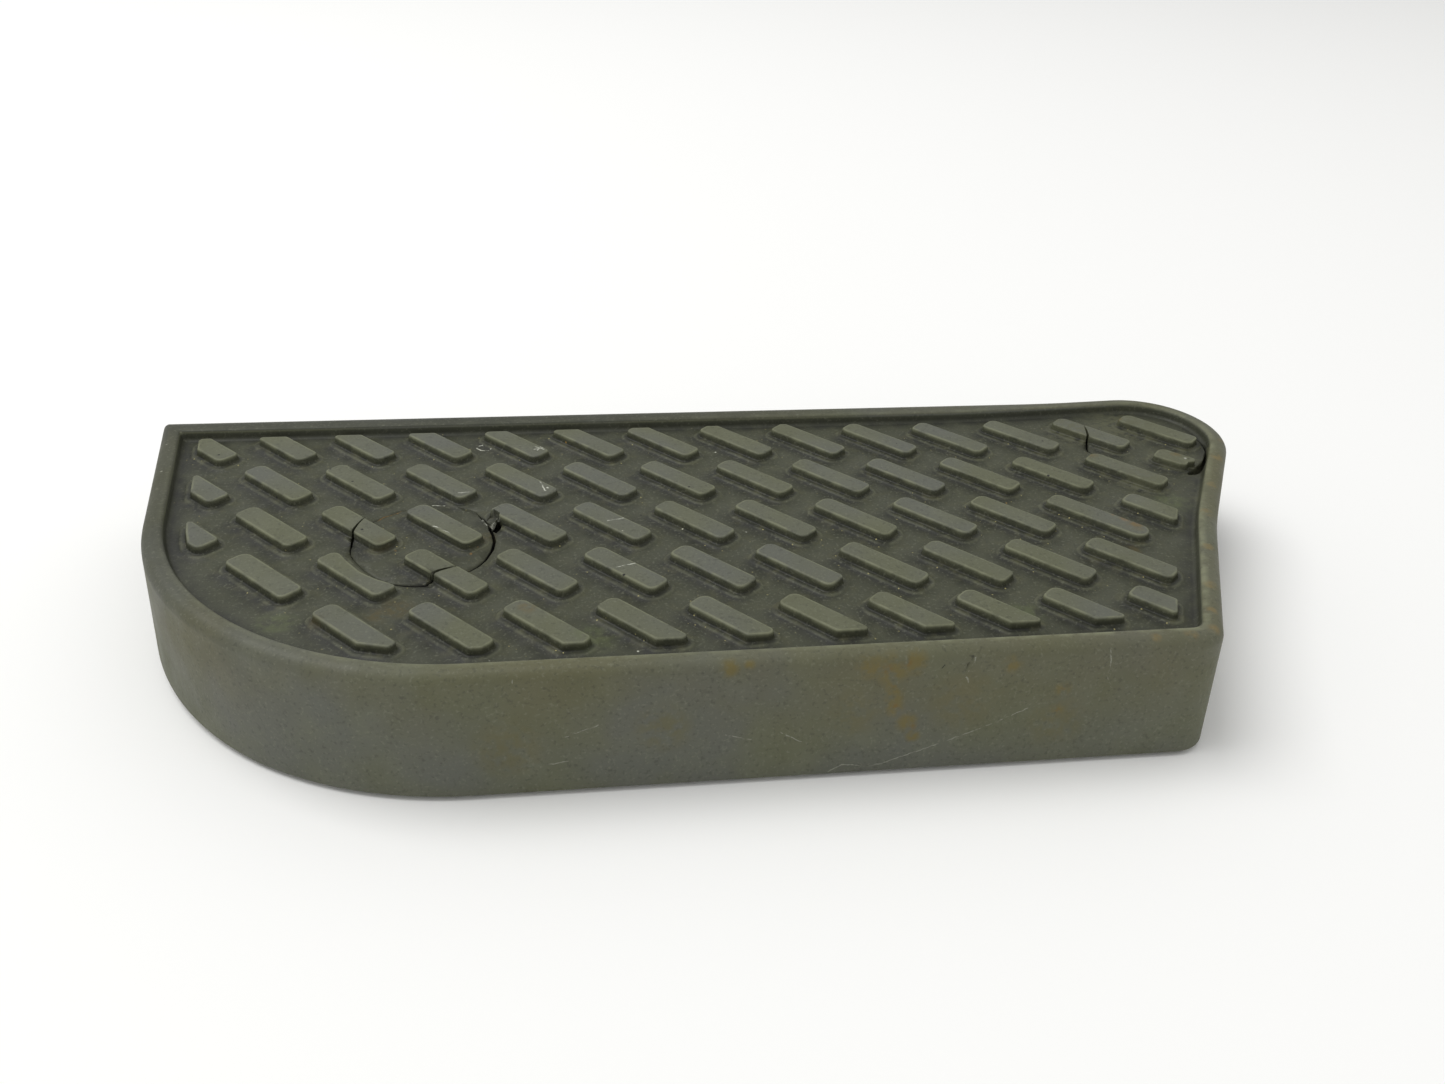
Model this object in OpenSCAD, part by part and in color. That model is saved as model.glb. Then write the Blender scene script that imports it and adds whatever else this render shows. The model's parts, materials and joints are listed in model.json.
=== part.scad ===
// Platform foot pedal for a sewing machine: a tread shell that rocks on a
// rod along its front edge, over a tray that holds the speed control.
// X runs along the pedal, Y from the operator to the back, Z up from the floor.

/* [Outline of the tread] */
// Depth between the straight front and back edges
deck_depth = 118; // [110:1:130]
// Length of the front edge between its two corner points
front_len = 228; // [215:1:245]
// Lean of the left edge from square, degrees
left_lean = 8.4; // [4:0.2:12]
// Radius of the big front-left corner
nose_r = 78; // [60:1:85]
// Radius of the front-right corner
heel_r = 8; // [7:0.5:14]
// Radius of the back-left corner
back_corner_r = 3; // [2:0.5:4]
// Lean of the right edge below the waist, degrees
heel_lean = 24.7; // [20:0.5:27]
// Height of the waist above the front edge
waist_rise = 50; // [40:1:60]
// Lean of the right edge above the waist, degrees
ear_lean = 31; // [29:0.5:34]
// Radius of the concave waist
waist_r = 178; // [120:2:220]
// Radius of the round ear at the back right
ear_r = 22.7; // [20:0.1:25]
// Depth of the ear's corner point beyond the back edge
ear_rise = 5.7; // [4:0.1:8]
// Slope of the back edge where it flares out to the ear, degrees
flare_lean = 3.7; // [3:0.1:6]
// Radius of the concave flare
flare_r = 311; // [200:1:350]

/* [Shell] */
// Height of the rim's top above the floor
pedal_h = 31.5; // [30:0.5:36]
// Height of the skirt's lower edge above the floor at the front
skirt_gap = 1; // [0.6:0.1:1.5]
// Wall of the skirt at its top
skirt_wall = 3; // [2.5:0.1:3.4]
// How far the skirt flares outwards at its lower edge
skirt_flare = 1.5; // [0.5:0.1:2]
// Rounding of the rim's outer edge
edge_round = 3; // [2:0.25:4]
// Width of the rim
rim_w = 5; // [4.5:0.25:6]
// Depth of the tread floor below the rim's top
rim_depth = 2.8; // [2.4:0.1:3.2]
// Thickness of the deck
deck_t = 3.5; // [3:0.1:4]

/* [Tread bars] */
// Distance between neighbouring bars in a row
bar_pitch = 20; // [18:0.5:24]
// Distance between rows
row_pitch = 21.2; // [20:0.1:24]
// Length of a bar
bar_len = 21.2; // [18:0.1:23]
// Width of a bar
bar_w = 5.6; // [4.5:0.1:6.5]
// Height of a bar above the tread floor
bar_h = 2.3; // [1.8:0.1:2.4]
// Rounding of a bar's corners
bar_r = 1.8; // [1:0.1:2.2]
// Turn of a bar against its row, degrees
bar_turn = -45; // [-50:1:-40]
// Turn of the rows against the pedal's front edge, degrees
row_turn = -2; // [-4:0.5:0]
// Shift of each row against the one behind it
row_shift = 2.65; // [0:0.05:5]
// Margin between the pedal's edge and the bars
bar_margin = 10.2; // [9:0.1:14]
// How much nearer the bars come to the back edge
back_reach = 1.7; // [0:0.1:2.5]
// Margin between the bars and the edge of the round ear
ear_margin = 6.6; // [6:0.1:12]

/* [Hinge] */
// Distance of the hinge rod behind the front edge
hinge_inset = 14; // [14:0.5:18]
// Height of the hinge rod above the floor
hinge_z = 10.5; // [10:0.1:12]
// Diameter of the hinge rod
rod_d = 5; // [4:0.25:5.5]
// Wall of the nylon bushes
bush_wall = 1; // [0.8:0.1:1.2]
// Radial running clearance of the rod in its bushes
run_fit = 0.05; // [0.02:0.01:0.08]
// Width of a treadle lug
lug_w = 8; // [6:0.5:10]
// Thickness of a hinge ear on the tray
ear_t = 4; // [3:0.5:5]
// Side clearance between a lug and its ears
side_gap = 0.4; // [0.3:0.05:0.6]
// Stroke of the treadle, degrees
stroke = 3; // [2:0.25:3.25]

/* [Tray] */
// Height of the tray's underside above the floor
foot_h = 2; // [1.5:0.1:3]
// Thickness of the tray's floor
pan_t = 2.5; // [2:0.1:3]
// Height of the tray's rim above the floor
pan_rim_z = 12; // [11:0.25:13]
// Wall of the tray's rim
pan_wall = 2; // [1.6:0.1:2.4]
// Clearance between the tray and the skirt
pan_gap = 1.5; // [1.2:0.1:1.8]
// Diameter of a rubber foot
foot_d = 16; // [12:0.5:18]
// Clearance between parts that meet but don't run
seat_gap = 0.3; // [0.2:0.05:0.4]

/* [Springs] */
// Wire of the return springs
coil_wire = 1.4; // [1.2:0.1:1.6]
// Mean radius of the return springs
coil_r = 7.5; // [6:0.1:8]
// Turns of a return spring
coil_turns = 6; // [5:0.5:7]
// Outer radius of the left spring post
left_post_r = 16.5; // [14:0.5:18]
// Outer radius of the right spring post
right_post_r = 13.5; // [12:0.5:14]
// Wall of the spring posts
post_wall = 2.5; // [2:0.1:3]

/* [Speed control] */
// Module of the rack and pinion
tooth_module = 0.8; // [0.8:0.1:1]
// Teeth of the pinion
pinion_teeth = 12; // [12:1:14]
// Backlash at the pitch line
backlash = 0.2; // [0.15:0.05:0.3]
// Diameter of the potentiometer's body
pot_d = 12; // [10:0.5:12]
// Diameter of the cord that the gland takes
cord_d = 6; // [5:0.1:6.5]
// Thickness of the circuit board
board_t = 1.6; // [1.2:0.2:2]

/* [Hidden] */

shell_grey = [0.36, 0.36, 0.31];
tray_black = [0.13, 0.13, 0.13];
rubber_black = [0.07, 0.07, 0.07];
steel = [0.72, 0.72, 0.74];
nylon = [0.88, 0.86, 0.78];
eps = 0.01;
round_fn = 48;

// ---- Outline: six corner points, each rounded by a tangent arc ----

ear_point_y = deck_depth + ear_rise;
waist_point = [front_len + waist_rise * tan(heel_lean), waist_rise];
ear_point = waist_point + (ear_point_y - waist_rise) * [tan(ear_lean), 1];
corners = [
    [-deck_depth * tan(left_lean), deck_depth],
    [0, 0],
    [front_len, 0],
    waist_point,
    ear_point,
    [ear_point[0] - ear_rise / tan(flare_lean), deck_depth]];
corner_radii = [back_corner_r, nose_r, heel_r, waist_r, ear_r, flare_r];
corner_steps = [5, 22, 8, 4, 22, 4];
least_r = 0.5;

function cross2(a, b) = a[0] * b[1] - a[1] * b[0];
function unit(v) = v / norm(v);
function left_of(d) = [-d[1], d[0]];
function wrap(i) = (i + len(corners)) % len(corners);
function side(i) = unit(corners[wrap(i + 1)] - corners[wrap(i)]);

// Corner i after both of its sides move inwards by inset
function moved_corner(i, inset) = let (a = side(i - 1), b = side(i))
    corners[i] + inset * left_of(b) + inset * (1 - a * b) / cross2(a, b) * b;

// Arc that rounds corner i of the moved outline
function corner_arc(i, inset) = let (
    a = side(i - 1), b = side(i),
    s = sign(cross2(a, b)),
    turn = acos(a * b),
    r = max(corner_radii[i] - s * inset, least_r),
    c = moved_corner(i, inset) - a * r * tan(turn / 2) + s * r * left_of(a),
    start = atan2(-s * left_of(a)[1], -s * left_of(a)[0]))
    [for (k = [0:corner_steps[i]]) let (t = start + s * turn * k / corner_steps[i])
        c + r * [cos(t), sin(t)]];

function raw_outline(inset) = [for (i = [0:len(corners) - 1]) each corner_arc(i, inset)];
raw_edge = raw_outline(0);
raw_x = [for (p = raw_edge) p[0]];
raw_y = [for (p = raw_edge) p[1]];
middle = [(min(raw_x) + max(raw_x)) / 2, (min(raw_y) + max(raw_y)) / 2];
function outline(inset) = [for (p = raw_outline(inset)) p - middle];
function place(p) = p - middle;

front_y = -middle[1];
back_y = deck_depth - middle[1];
ear_center = let (a = side(3), turn = acos(side(3) * side(4)))
    place(corners[4] - a * ear_r * tan(turn / 2) + ear_r * left_of(a));

// ---- Places, from the front-left corner point of the outline ----

stop_line = deck_depth - 28;
foot_line = deck_depth - 14;
right_foot = front_len - 7;
bar_start = [9, stop_line];
last_bar = floor(front_len / bar_pitch);
row_spans = [[-1, last_bar + 1], [-1, last_bar + 1], [-1, last_bar],
    [0, last_bar - 1], [1, last_bar - 1]];
hinge_places = [83, 144, front_len - 27];
left_post = place([56, deck_depth - 62]);
right_post = ear_center;
foot_places = [[61, 18], [right_foot, 16], [17, 52], [1, foot_line], [right_foot + 8, foot_line]];
stop_places = [[24, stop_line], [97, stop_line], [right_foot, stop_line]];
hook_places = [67, front_len - 35];
control = place([118, deck_depth - 46]);

// ---- Heights and derived sizes ----

deck_top = pedal_h - rim_depth;
deck_under = deck_top - deck_t;
pan_floor = foot_h + pan_t;
hinge_y = front_y + hinge_inset;
lug_r = rod_d / 2 + bush_wall + 2;
hinge_x = [for (x = hinge_places) place([x, 0])[0]];
pan_inset = skirt_wall + pan_gap;
sink = 0.5;
screw_r = 1.5;
small_screw_r = 1.25;
sheet_t = 1.5;
rod_r = rod_d / 2;
bush_r = rod_r + bush_wall;
groove_r = rod_r - 0.5;
clip_t = 0.8;
ear_offset = lug_w / 2 + side_gap + ear_t / 2;
rod_overhang = ear_offset + ear_t / 2 + seat_gap + clip_t + 1.5;
rib_h = 5;
rib_t = 2.5;
rib_under = deck_under - rib_h;
cup_t = 0.8;
cup_r = coil_r + 2.5;
cup_h = 3;
stub_r = 2.7;
stop_r = 5;
foot_recess = 1;
foot_boss_h = 4;

// Hooks that hold the treadle down at rest, and the brackets over their toes
hook_t = 3;
toe_w = 6;
toe_t = 2.5;
pad_t = 1;
hook_y = [back_y - 19.5, back_y - 10.5];
toe_z = pan_floor + (hook_y[1] - hinge_y) * tan(stroke) + 0.4;
lip_z = toe_z + toe_t + seat_gap + pad_t;
leg_x = hook_t + toe_w + 2;
flange_w = 10;

// Speed control
board_z = pan_floor + 2;
board_top = board_z + board_t;
pitch_r = tooth_module * pinion_teeth / 2;
addendum = 0.8 * tooth_module;
dedendum = 1.05 * tooth_module;
pressure_angle = 25;
tooth_w = PI * tooth_module / 2 - backlash / 2;
rack_root_x = 2;
pinion_x = rack_root_x + dedendum + pitch_r + 0.1;
shaft_r = 2;
pot_z = board_top + pot_d / 2;
rack_travel = (control[1] - hinge_y) * stroke * PI / 180;
rack_z = [pot_z - 3.6, deck_under - 3];
rack_back = 3;
rack_y = 2.5;
tooth_half = 1.8;
slide_gap = 0.2;
guide_wall = 2;
guide_front = 1.4;
guide_top = pot_z + 4;
board_x = [rack_root_x + 0.5, 72];
board_y = [-6, 24];
board_holes = [[17, -2.5], [68.5, -2.5], [5.7, 20.5], [68.5, 20.5]];
terminal_x = [15, 33];
terminal_y = [14.8, 23.8];
sink_x = [38, 64];
sink_y = [14, 23];

// Cord inlet
gland_x = control[0] + (terminal_x[0] + terminal_x[1]) / 2;
gland_z = 9;
gland_r = cord_d / 2 + 1.4;
gland_bore_r = cord_d / 2 + 0.1;
gland_out = 3.5;
port_y = back_y - pan_inset;
port_t = 5;
clamp_y = [port_y - 14, port_y - 8.5];
clamp_w = 10;
arch_r = gland_r + 1.6;
arch_z = gland_z + gland_r + (back_y - hinge_y) * tan(stroke) + 0.6;
arch_depth = 8;
arch_outline = concat([[-arch_r, -1], [arch_r, -1]],
    [for (a = [0:15:180]) [arch_r * cos(a), arch_z - arch_r + arch_r * sin(a)]]);

// Downward travel at the full stroke of a point this far behind the rod
function travel(y) = (y - hinge_y) * tan(stroke);

// Solid between the outlines that a profile of [inset, z] pairs names
module lofted(profile) {
    n = len(raw_edge);
    rings = len(profile);
    points = [for (p = profile) each [for (q = outline(p[0])) [q[0], q[1], p[1]]]];
    sides = [for (k = [0:rings - 2]) each [for (i = [0:n - 1]) let (j = (i + 1) % n) each [
        [k * n + i, (k + 1) * n + i, (k + 1) * n + j],
        [k * n + i, (k + 1) * n + j, k * n + j]]]];
    polyhedron(points, concat([[for (i = [0:n - 1]) i]], sides,
        [[for (i = [n - 1:-1:0]) (rings - 1) * n + i]]));
}

module slab(inset, z0, z1) translate([0, 0, z0]) linear_extrude(z1 - z0) polygon(outline(inset));

module ring(r_out, r_in, z0, z1) translate([0, 0, z0]) linear_extrude(z1 - z0) difference() {
    circle(r_out, $fn = round_fn);
    circle(r_in, $fn = round_fn);
}

module pin(r, z0, z1) translate([0, 0, z0]) cylinder(z1 - z0, r = r, $fn = round_fn);

module box(x0, x1, y0, y1, z0, z1) translate([x0, y0, z0]) cube([x1 - x0, y1 - y0, z1 - z0]);

// Cylinder along X or Y, centred on the point given
module x_pin(r, length) rotate([0, 90, 0]) cylinder(length, r = r, center = true, $fn = round_fn);
module y_pin(r, length) rotate([90, 0, 0]) cylinder(length, r = r, center = true, $fn = round_fn);

// Cross-head screw standing on its head's seat: head above, shank below
module screw(shank_r, shank, head_r, head_h) difference() {
    union() {
        pin(shank_r, -shank, eps);
        pin(head_r, 0, head_h);
    }
    for (a = [0, 90]) rotate(a)
        box(-head_r * 0.6, head_r * 0.6, -0.35, 0.35, head_h * 0.45, head_h + 1);
}

// Unbroken helical spring between two heights: one closed tube
module helix(r, wire, turns, z0, z1) {
    per_turn = 16;
    sides = 6;
    steps = turns * per_turn;
    rise = (z1 - z0 - wire) / turns;
    mid = [for (k = [0:steps]) let (a = 360 * k / per_turn)
        [r * cos(a), r * sin(a), z0 + wire / 2 + rise * k / per_turn]];
    points = [for (k = [0:steps]) let (a = 360 * k / per_turn) each [for (j = [0:sides - 1])
        let (b = 360 * (j + 0.5) / sides)
        mid[k] + wire / 2 * [cos(a) * cos(b), sin(a) * cos(b), sin(b)]]];
    walls = [for (k = [0:steps - 1]) each [for (j = [0:sides - 1]) let (m = (j + 1) % sides) each [
        [k * sides + j, k * sides + m, (k + 1) * sides + m],
        [k * sides + j, (k + 1) * sides + m, (k + 1) * sides + j]]]];
    polyhedron(points, concat([[for (j = [sides - 1:-1:0]) j]], walls,
        [[for (j = [0:sides - 1]) steps * sides + j]]));
}

// ---- Treadle ----

bar_shape = [for (c = [[bar_len - bar_r, bar_w - bar_r, 0], [bar_r, bar_w - bar_r, 90],
    [bar_r, bar_r, 180], [bar_len - bar_r, bar_r, 270]])
    each [for (k = [0:3]) let (a = c[2] + 30 * k) [c[0] + bar_r * cos(a), c[1] + bar_r * sin(a)]]];

module bars() translate(place(bar_start)) rotate(row_turn)
    for (row = [0:len(row_spans) - 1], i = [row_spans[row][0]:row_spans[row][1]])
        translate([i * bar_pitch + (row - 1) * row_shift, (1 - row) * row_pitch])
            rotate(bar_turn) polygon(bar_shape);

module shell_body() difference() {
    lofted(concat([[-skirt_flare, skirt_gap]], [for (k = [0:5]) let (a = 18 * k)
        [edge_round * (1 - cos(a)), pedal_h - edge_round * (1 - sin(a))]]));
    slab(skirt_wall, -1, deck_under);
    slab(rim_w, deck_top, pedal_h + 1);
}

// Ribs under the deck, each [x0, x1, y0, y1] from the front-left corner point
rib_lines = [[0, front_len + 32, 33], [0, 104, stop_line], [right_foot - 17, right_foot + 15, stop_line]];
rib_columns = [24, 97, right_foot];
module ribs() intersection() {
    union() {
        for (r = rib_lines) let (a = place([r[0], r[2]]), b = place([r[1], r[2]]))
            box(a[0], b[0], a[1] - rib_t / 2, a[1] + rib_t / 2, rib_under, deck_under + sink);
        for (x = rib_columns) let (a = place([x, 0]), b = place([x, deck_depth]))
            box(a[0] - rib_t / 2, a[0] + rib_t / 2, a[1], b[1], rib_under, deck_under + sink);
    }
    slab(skirt_wall - sink, 0, pedal_h);
}

module hinge_lug(x) {
    box(x - lug_w / 2, x + lug_w / 2, hinge_y - lug_r, hinge_y + lug_r, hinge_z, deck_under + sink);
    translate([x, hinge_y, hinge_z]) x_pin(lug_r, lug_w);
}

module spring_post(at, r) translate([at[0], at[1], 0]) {
    ring(r, r - post_wall, pan_floor + travel(at[1] + r) + 0.6, deck_under + sink);
    pin(coil_r - coil_wire / 2 - seat_gap, deck_under - 3, deck_under + sink);
}

module hook(x) {
    box(x, x + hook_t, hook_y[0], hook_y[1], toe_z, deck_under + sink);
    box(x, x + hook_t + toe_w, hook_y[0], hook_y[1], toe_z, toe_z + toe_t);
}

// Round nose that presses the rack's top
tip_r = 2;
module nose() translate([control[0] - 0.5, control[1], 0]) {
    box(-2.5, 2.5, -tip_r, tip_r, rack_z[1] + seat_gap + tip_r, deck_under + sink);
    translate([0, 0, rack_z[1] + seat_gap + tip_r]) x_pin(tip_r, 5);
}

module treadle_shell() color(shell_grey) difference() {
    union() {
        shell_body();
        translate([0, 0, deck_top - sink]) linear_extrude(bar_h + sink) intersection() {
            bars();
            union() {
                for (dy = [0, back_reach]) translate([0, dy]) polygon(outline(bar_margin));
                translate(ear_center) circle(ear_r - ear_margin, $fn = round_fn);
            }
        }
        ribs();
        for (x = hinge_x) hinge_lug(x);
        spring_post(left_post, left_post_r);
        spring_post(right_post, right_post_r);
        for (x = hook_places) hook(place([x, 0])[0]);
        nose();
    }
    translate([0, hinge_y, skirt_gap]) rotate([stroke + 0.2, 0, 0])
        box(-front_len, front_len, 0, 2 * deck_depth, -pedal_h, 0);
    for (x = hinge_x) translate([x, hinge_y, hinge_z]) x_pin(bush_r, lug_w + 1);
    translate([gland_x, back_y + arch_depth, 0]) rotate([90, 0, 0]) linear_extrude(2 * arch_depth)
        polygon(arch_outline);
}

module hinge_bushes() color(nylon) for (x = hinge_x) translate([x, hinge_y, hinge_z])
    rotate([0, 90, 0]) translate([0, 0, -lug_w / 2]) ring(bush_r, rod_r + run_fit, 0, lug_w);

// ---- Tray ----

module foot_boss(at) translate([at[0], at[1], 0]) pin(4, pan_floor - sink, pan_floor + foot_boss_h);

module hinge_ear(x) {
    box(x - ear_t / 2, x + ear_t / 2, hinge_y - lug_r, hinge_y + lug_r, pan_floor - sink, hinge_z);
    translate([x, hinge_y, hinge_z]) x_pin(lug_r, ear_t);
}

module base_pan() color(tray_black) difference() {
    union() {
        difference() {
            slab(pan_inset, foot_h, pan_rim_z);
            slab(pan_inset + pan_wall, pan_floor, pan_rim_z + 1);
        }
        for (x = hinge_x, s = [-1, 1]) hinge_ear(x + s * ear_offset);
        for (p = foot_places) foot_boss(place(p));
        for (p = [left_post, right_post]) translate([p[0], p[1], 0])
            pin(stub_r, pan_floor - sink, pan_floor + 2);
        for (p = stop_places) translate([place(p)[0], place(p)[1], 0])
            pin(2, pan_floor - sink, pan_floor + 3);
        for (p = board_holes) translate([control[0] + p[0], control[1] + p[1], 0])
            pin(2.8, pan_floor - sink, board_z);
        box(gland_x - clamp_w, gland_x + clamp_w, port_y - port_t, port_y,
            pan_floor - sink, gland_z + gland_r + 2);
        box(gland_x - clamp_w, gland_x + clamp_w, clamp_y[0], clamp_y[1], pan_floor - sink, gland_z);
    }
    for (x = hinge_x, s = [-1, 1]) translate([x + s * ear_offset, hinge_y, hinge_z])
        x_pin(rod_r, ear_t + 1);
    for (p = foot_places) translate([place(p)[0], place(p)[1], 0]) {
        pin(foot_d / 2 + 0.1, foot_h - 1, foot_h + foot_recess);
        pin(screw_r, foot_h, pan_floor + foot_boss_h - 0.6);
    }
    for (p = board_holes) translate([control[0] + p[0], control[1] + p[1], 0])
        pin(small_screw_r, pan_floor - 1, board_z + 1);
    for (s = [-1, 1]) translate([control[0] + guide_screw_x, control[1] + s * guide_screw_y, 0])
        pin(small_screw_r, pan_floor - 1.9, pan_floor + 1);
    for (x = hook_places) translate([bracket_screw_x(x), (hook_y[0] + hook_y[1]) / 2, 0])
        pin(screw_r, pan_floor - 1.5, pan_floor + 1);
    translate([gland_x, port_y - port_t / 2, gland_z]) y_pin(gland_r, port_t + 2);
    translate([gland_x, (clamp_y[0] + clamp_y[1]) / 2, gland_z]) y_pin(gland_bore_r, 8);
    for (s = [-1, 1]) translate([gland_x + s * clamp_screw_x, (clamp_y[0] + clamp_y[1]) / 2, 0])
        pin(screw_r, pan_floor + 1.5, gland_z + 1);
}

module rubber_feet() color(rubber_black) for (p = foot_places)
    translate([place(p)[0], place(p)[1], 0]) difference() {
        pin(foot_d / 2, 0, foot_h + foot_recess);
        pin(screw_r + 0.1, -1, foot_h + foot_recess + 1);
        pin(foot_screw_head_r + seat_gap, -1, foot_seat_z);
    }

foot_screw_head_r = 2.9;
foot_seat_z = 1.4;
foot_screw_len = pan_floor + foot_boss_h - 1 - foot_seat_z;
module foot_screws() color(steel) for (p = foot_places)
    translate([place(p)[0], place(p)[1], foot_seat_z])
        mirror([0, 0, 1]) screw(screw_r, foot_screw_len, foot_screw_head_r, 1.1);

// ---- Hinge ----

rod_ends = [hinge_x[0] - rod_overhang, hinge_x[len(hinge_x) - 1] + rod_overhang];
clip_x = [hinge_x[0] - ear_offset - ear_t / 2 - seat_gap - clip_t,
    hinge_x[len(hinge_x) - 1] + ear_offset + ear_t / 2 + seat_gap];

module hinge_rod() color(steel) translate([0, hinge_y, hinge_z]) difference() {
    translate([(rod_ends[0] + rod_ends[1]) / 2, 0, 0]) x_pin(rod_r, rod_ends[1] - rod_ends[0]);
    for (x = clip_x) translate([x - 0.05, 0, 0]) rotate([0, 90, 0])
        ring(rod_r + 1, groove_r, 0, clip_t + 0.1);
}

module rod_clips() color(steel) for (x = clip_x) translate([x, hinge_y, hinge_z])
    rotate([0, 90, 0]) linear_extrude(clip_t) difference() {
        circle(rod_r + 2, $fn = round_fn);
        circle(groove_r + run_fit, $fn = round_fn);
        translate([-groove_r * 0.9, 0]) square([groove_r * 1.8, rod_r + 3]);
    }

// ---- Springs and stops ----

module return_spring(at) color(steel) translate([at[0], at[1], 0])
    helix(coil_r, coil_wire, coil_turns, pan_floor + cup_t + 0.05, deck_under - 0.05);
module left_spring() return_spring(left_post);
module right_spring() return_spring(right_post);

module spring_cups() color(steel) for (p = [left_post, right_post]) translate([p[0], p[1], 0])
    difference() {
        pin(cup_r, pan_floor, pan_floor + cup_h);
        pin(cup_r - cup_t, pan_floor + cup_t, pan_floor + cup_h + 1);
        pin(stub_r + 0.1, pan_floor - 1, pan_floor + cup_h);
    }

module down_stops() color(rubber_black) for (p = stop_places) let (at = place(p))
    translate([at[0], at[1], 0]) difference() {
        pin(stop_r, pan_floor, rib_under - travel(at[1] + stop_r) - seat_gap);
        pin(2.1, pan_floor - 1, pan_floor + 3.2);
    }

function bracket_screw_x(x) = place([x, 0])[0] + leg_x + sheet_t + flange_w / 2;

module stop_brackets() color(steel) for (x = hook_places) let (x0 = place([x, 0])[0]) difference() {
    union() {
        box(x0 + leg_x, x0 + leg_x + sheet_t, hook_y[0] - 1, hook_y[1] + 1, pan_floor, lip_z + sheet_t);
        box(x0 + hook_t + 0.8, x0 + leg_x + sheet_t, hook_y[0] - 1, hook_y[1] + 1,
            lip_z, lip_z + sheet_t);
        box(x0 + leg_x, x0 + leg_x + sheet_t + flange_w, hook_y[0] - 1, hook_y[1] + 1,
            pan_floor, pan_floor + sheet_t);
    }
    translate([bracket_screw_x(x), (hook_y[0] + hook_y[1]) / 2, 0])
        pin(screw_r + 0.1, pan_floor - 1, pan_floor + sheet_t + 1);
}

module stop_pads() color([0.3, 0.3, 0.28]) for (x = hook_places) let (x0 = place([x, 0])[0])
    box(x0 + hook_t + 1, x0 + hook_t + toe_w, hook_y[0], hook_y[1], lip_z - pad_t, lip_z);

module bracket_screws() color(steel) for (x = hook_places)
    translate([bracket_screw_x(x), (hook_y[0] + hook_y[1]) / 2, pan_floor + sheet_t])
        screw(screw_r, sheet_t + 1.4, 2.8, 1.6);

// ---- Speed control: rack, pinion and potentiometer ----

guide_screw_x = -1.9;
guide_screw_y = 7.6;

function involute(r) = tan(r) * 180 / PI - r;
base_r = pitch_r * cos(pressure_angle);
function half_tooth(r) = tooth_w / 2 / pitch_r * 180 / PI + involute(pressure_angle)
    - involute(acos(min(1, base_r / r)));
tooth_radii = [pitch_r - dedendum, base_r, pitch_r - addendum / 3, pitch_r,
    pitch_r + addendum / 2, pitch_r + addendum];
// Flank of a tooth as [radius, angle from the tooth's middle]
flank = [for (r = tooth_radii) [r, half_tooth(max(r, base_r))]];
function polar(r, a) = r * [cos(a), sin(a)];

module pinion_outline() polygon([for (t = [0:pinion_teeth - 1]) let (mid = 360 * t / pinion_teeth)
    each concat([for (q = flank) polar(q[0], mid - q[1])],
        [for (k = [len(flank) - 1:-1:0]) polar(flank[k][0], mid + flank[k][1])])]);

module rack_teeth() {
    tooth_pitch = PI * tooth_module;
    pitch_x = rack_root_x + dedendum;
    count = floor((rack_travel + 5) / tooth_pitch / 2);
    slope = tan(pressure_angle);
    for (k = [-1:count]) translate([0, (k + 0.5) * tooth_pitch]) polygon([
        [rack_root_x - sink, -tooth_w / 2 - (dedendum + sink) * slope],
        [pitch_x + addendum, -tooth_w / 2 + addendum * slope],
        [pitch_x + addendum, tooth_w / 2 - addendum * slope],
        [rack_root_x - sink, tooth_w / 2 + (dedendum + sink) * slope]]);
}

module speed_rack() color(nylon) translate([control[0], control[1], 0]) {
    box(-rack_back, 0, -rack_y, rack_y, rack_z[0], rack_z[1]);
    box(-sink, rack_root_x, -tooth_half, tooth_half, rack_z[0], rack_z[1]);
    translate([0, tooth_half, pot_z]) rotate([90, 0, 0]) linear_extrude(2 * tooth_half) rack_teeth();
}

module rack_guide() color(tray_black) translate([control[0], control[1], 0]) difference() {
    union() {
        box(-rack_back - slide_gap - guide_wall, guide_front, -rack_y - slide_gap - guide_wall,
            rack_y + slide_gap + guide_wall, pan_floor, guide_top);
        box(-rack_back - slide_gap - guide_wall, guide_front, -guide_screw_y - 3, guide_screw_y + 3,
            pan_floor, pan_floor + guide_wall);
    }
    box(-rack_back - slide_gap, slide_gap, -rack_y - slide_gap, rack_y + slide_gap,
        pan_floor - 1, guide_top + 1);
    box(0, guide_front + 1, -tooth_half - slide_gap, tooth_half + slide_gap,
        pan_floor - 1, guide_top + 1);
    for (s = [-1, 1]) translate([guide_screw_x, s * guide_screw_y, 0])
        pin(small_screw_r + 0.1, pan_floor - 1, pan_floor + 3);
}

module guide_screws() color(steel) for (s = [-1, 1])
    translate([control[0] + guide_screw_x, control[1] + s * guide_screw_y, pan_floor + guide_wall])
        screw(small_screw_r, guide_wall + 1.8, 2.2, 1.4);

module rack_spring() color(steel) translate([control[0] - 1.5, control[1], 0])
    helix(1.3, 0.4, 4, pan_floor + 0.05, rack_z[0] - 0.05);

module pinion_gear() color(nylon) translate([control[0] + pinion_x, control[1] + 2, pot_z])
    rotate([90, 0, 0]) linear_extrude(4) difference() {
        pinion_outline();
        circle(shaft_r, $fn = round_fn);
    }

module pot_shaft() color(steel) translate([control[0] + pinion_x, control[1] + 5, pot_z])
    y_pin(shaft_r, 16);

module potentiometer() color([0.25, 0.32, 0.5]) translate([control[0] + pinion_x, control[1], pot_z])
    difference() {
        union() {
            translate([0, 5.5, 0]) y_pin(3.5, 5);
            translate([0, 11.5, 0]) y_pin(pot_d / 2, 7);
            box(-pot_d / 2, pot_d / 2, 8, 15, -pot_d / 2, 0);
        }
        translate([0, 8, 0]) y_pin(shaft_r + run_fit, 11);
    }

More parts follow.
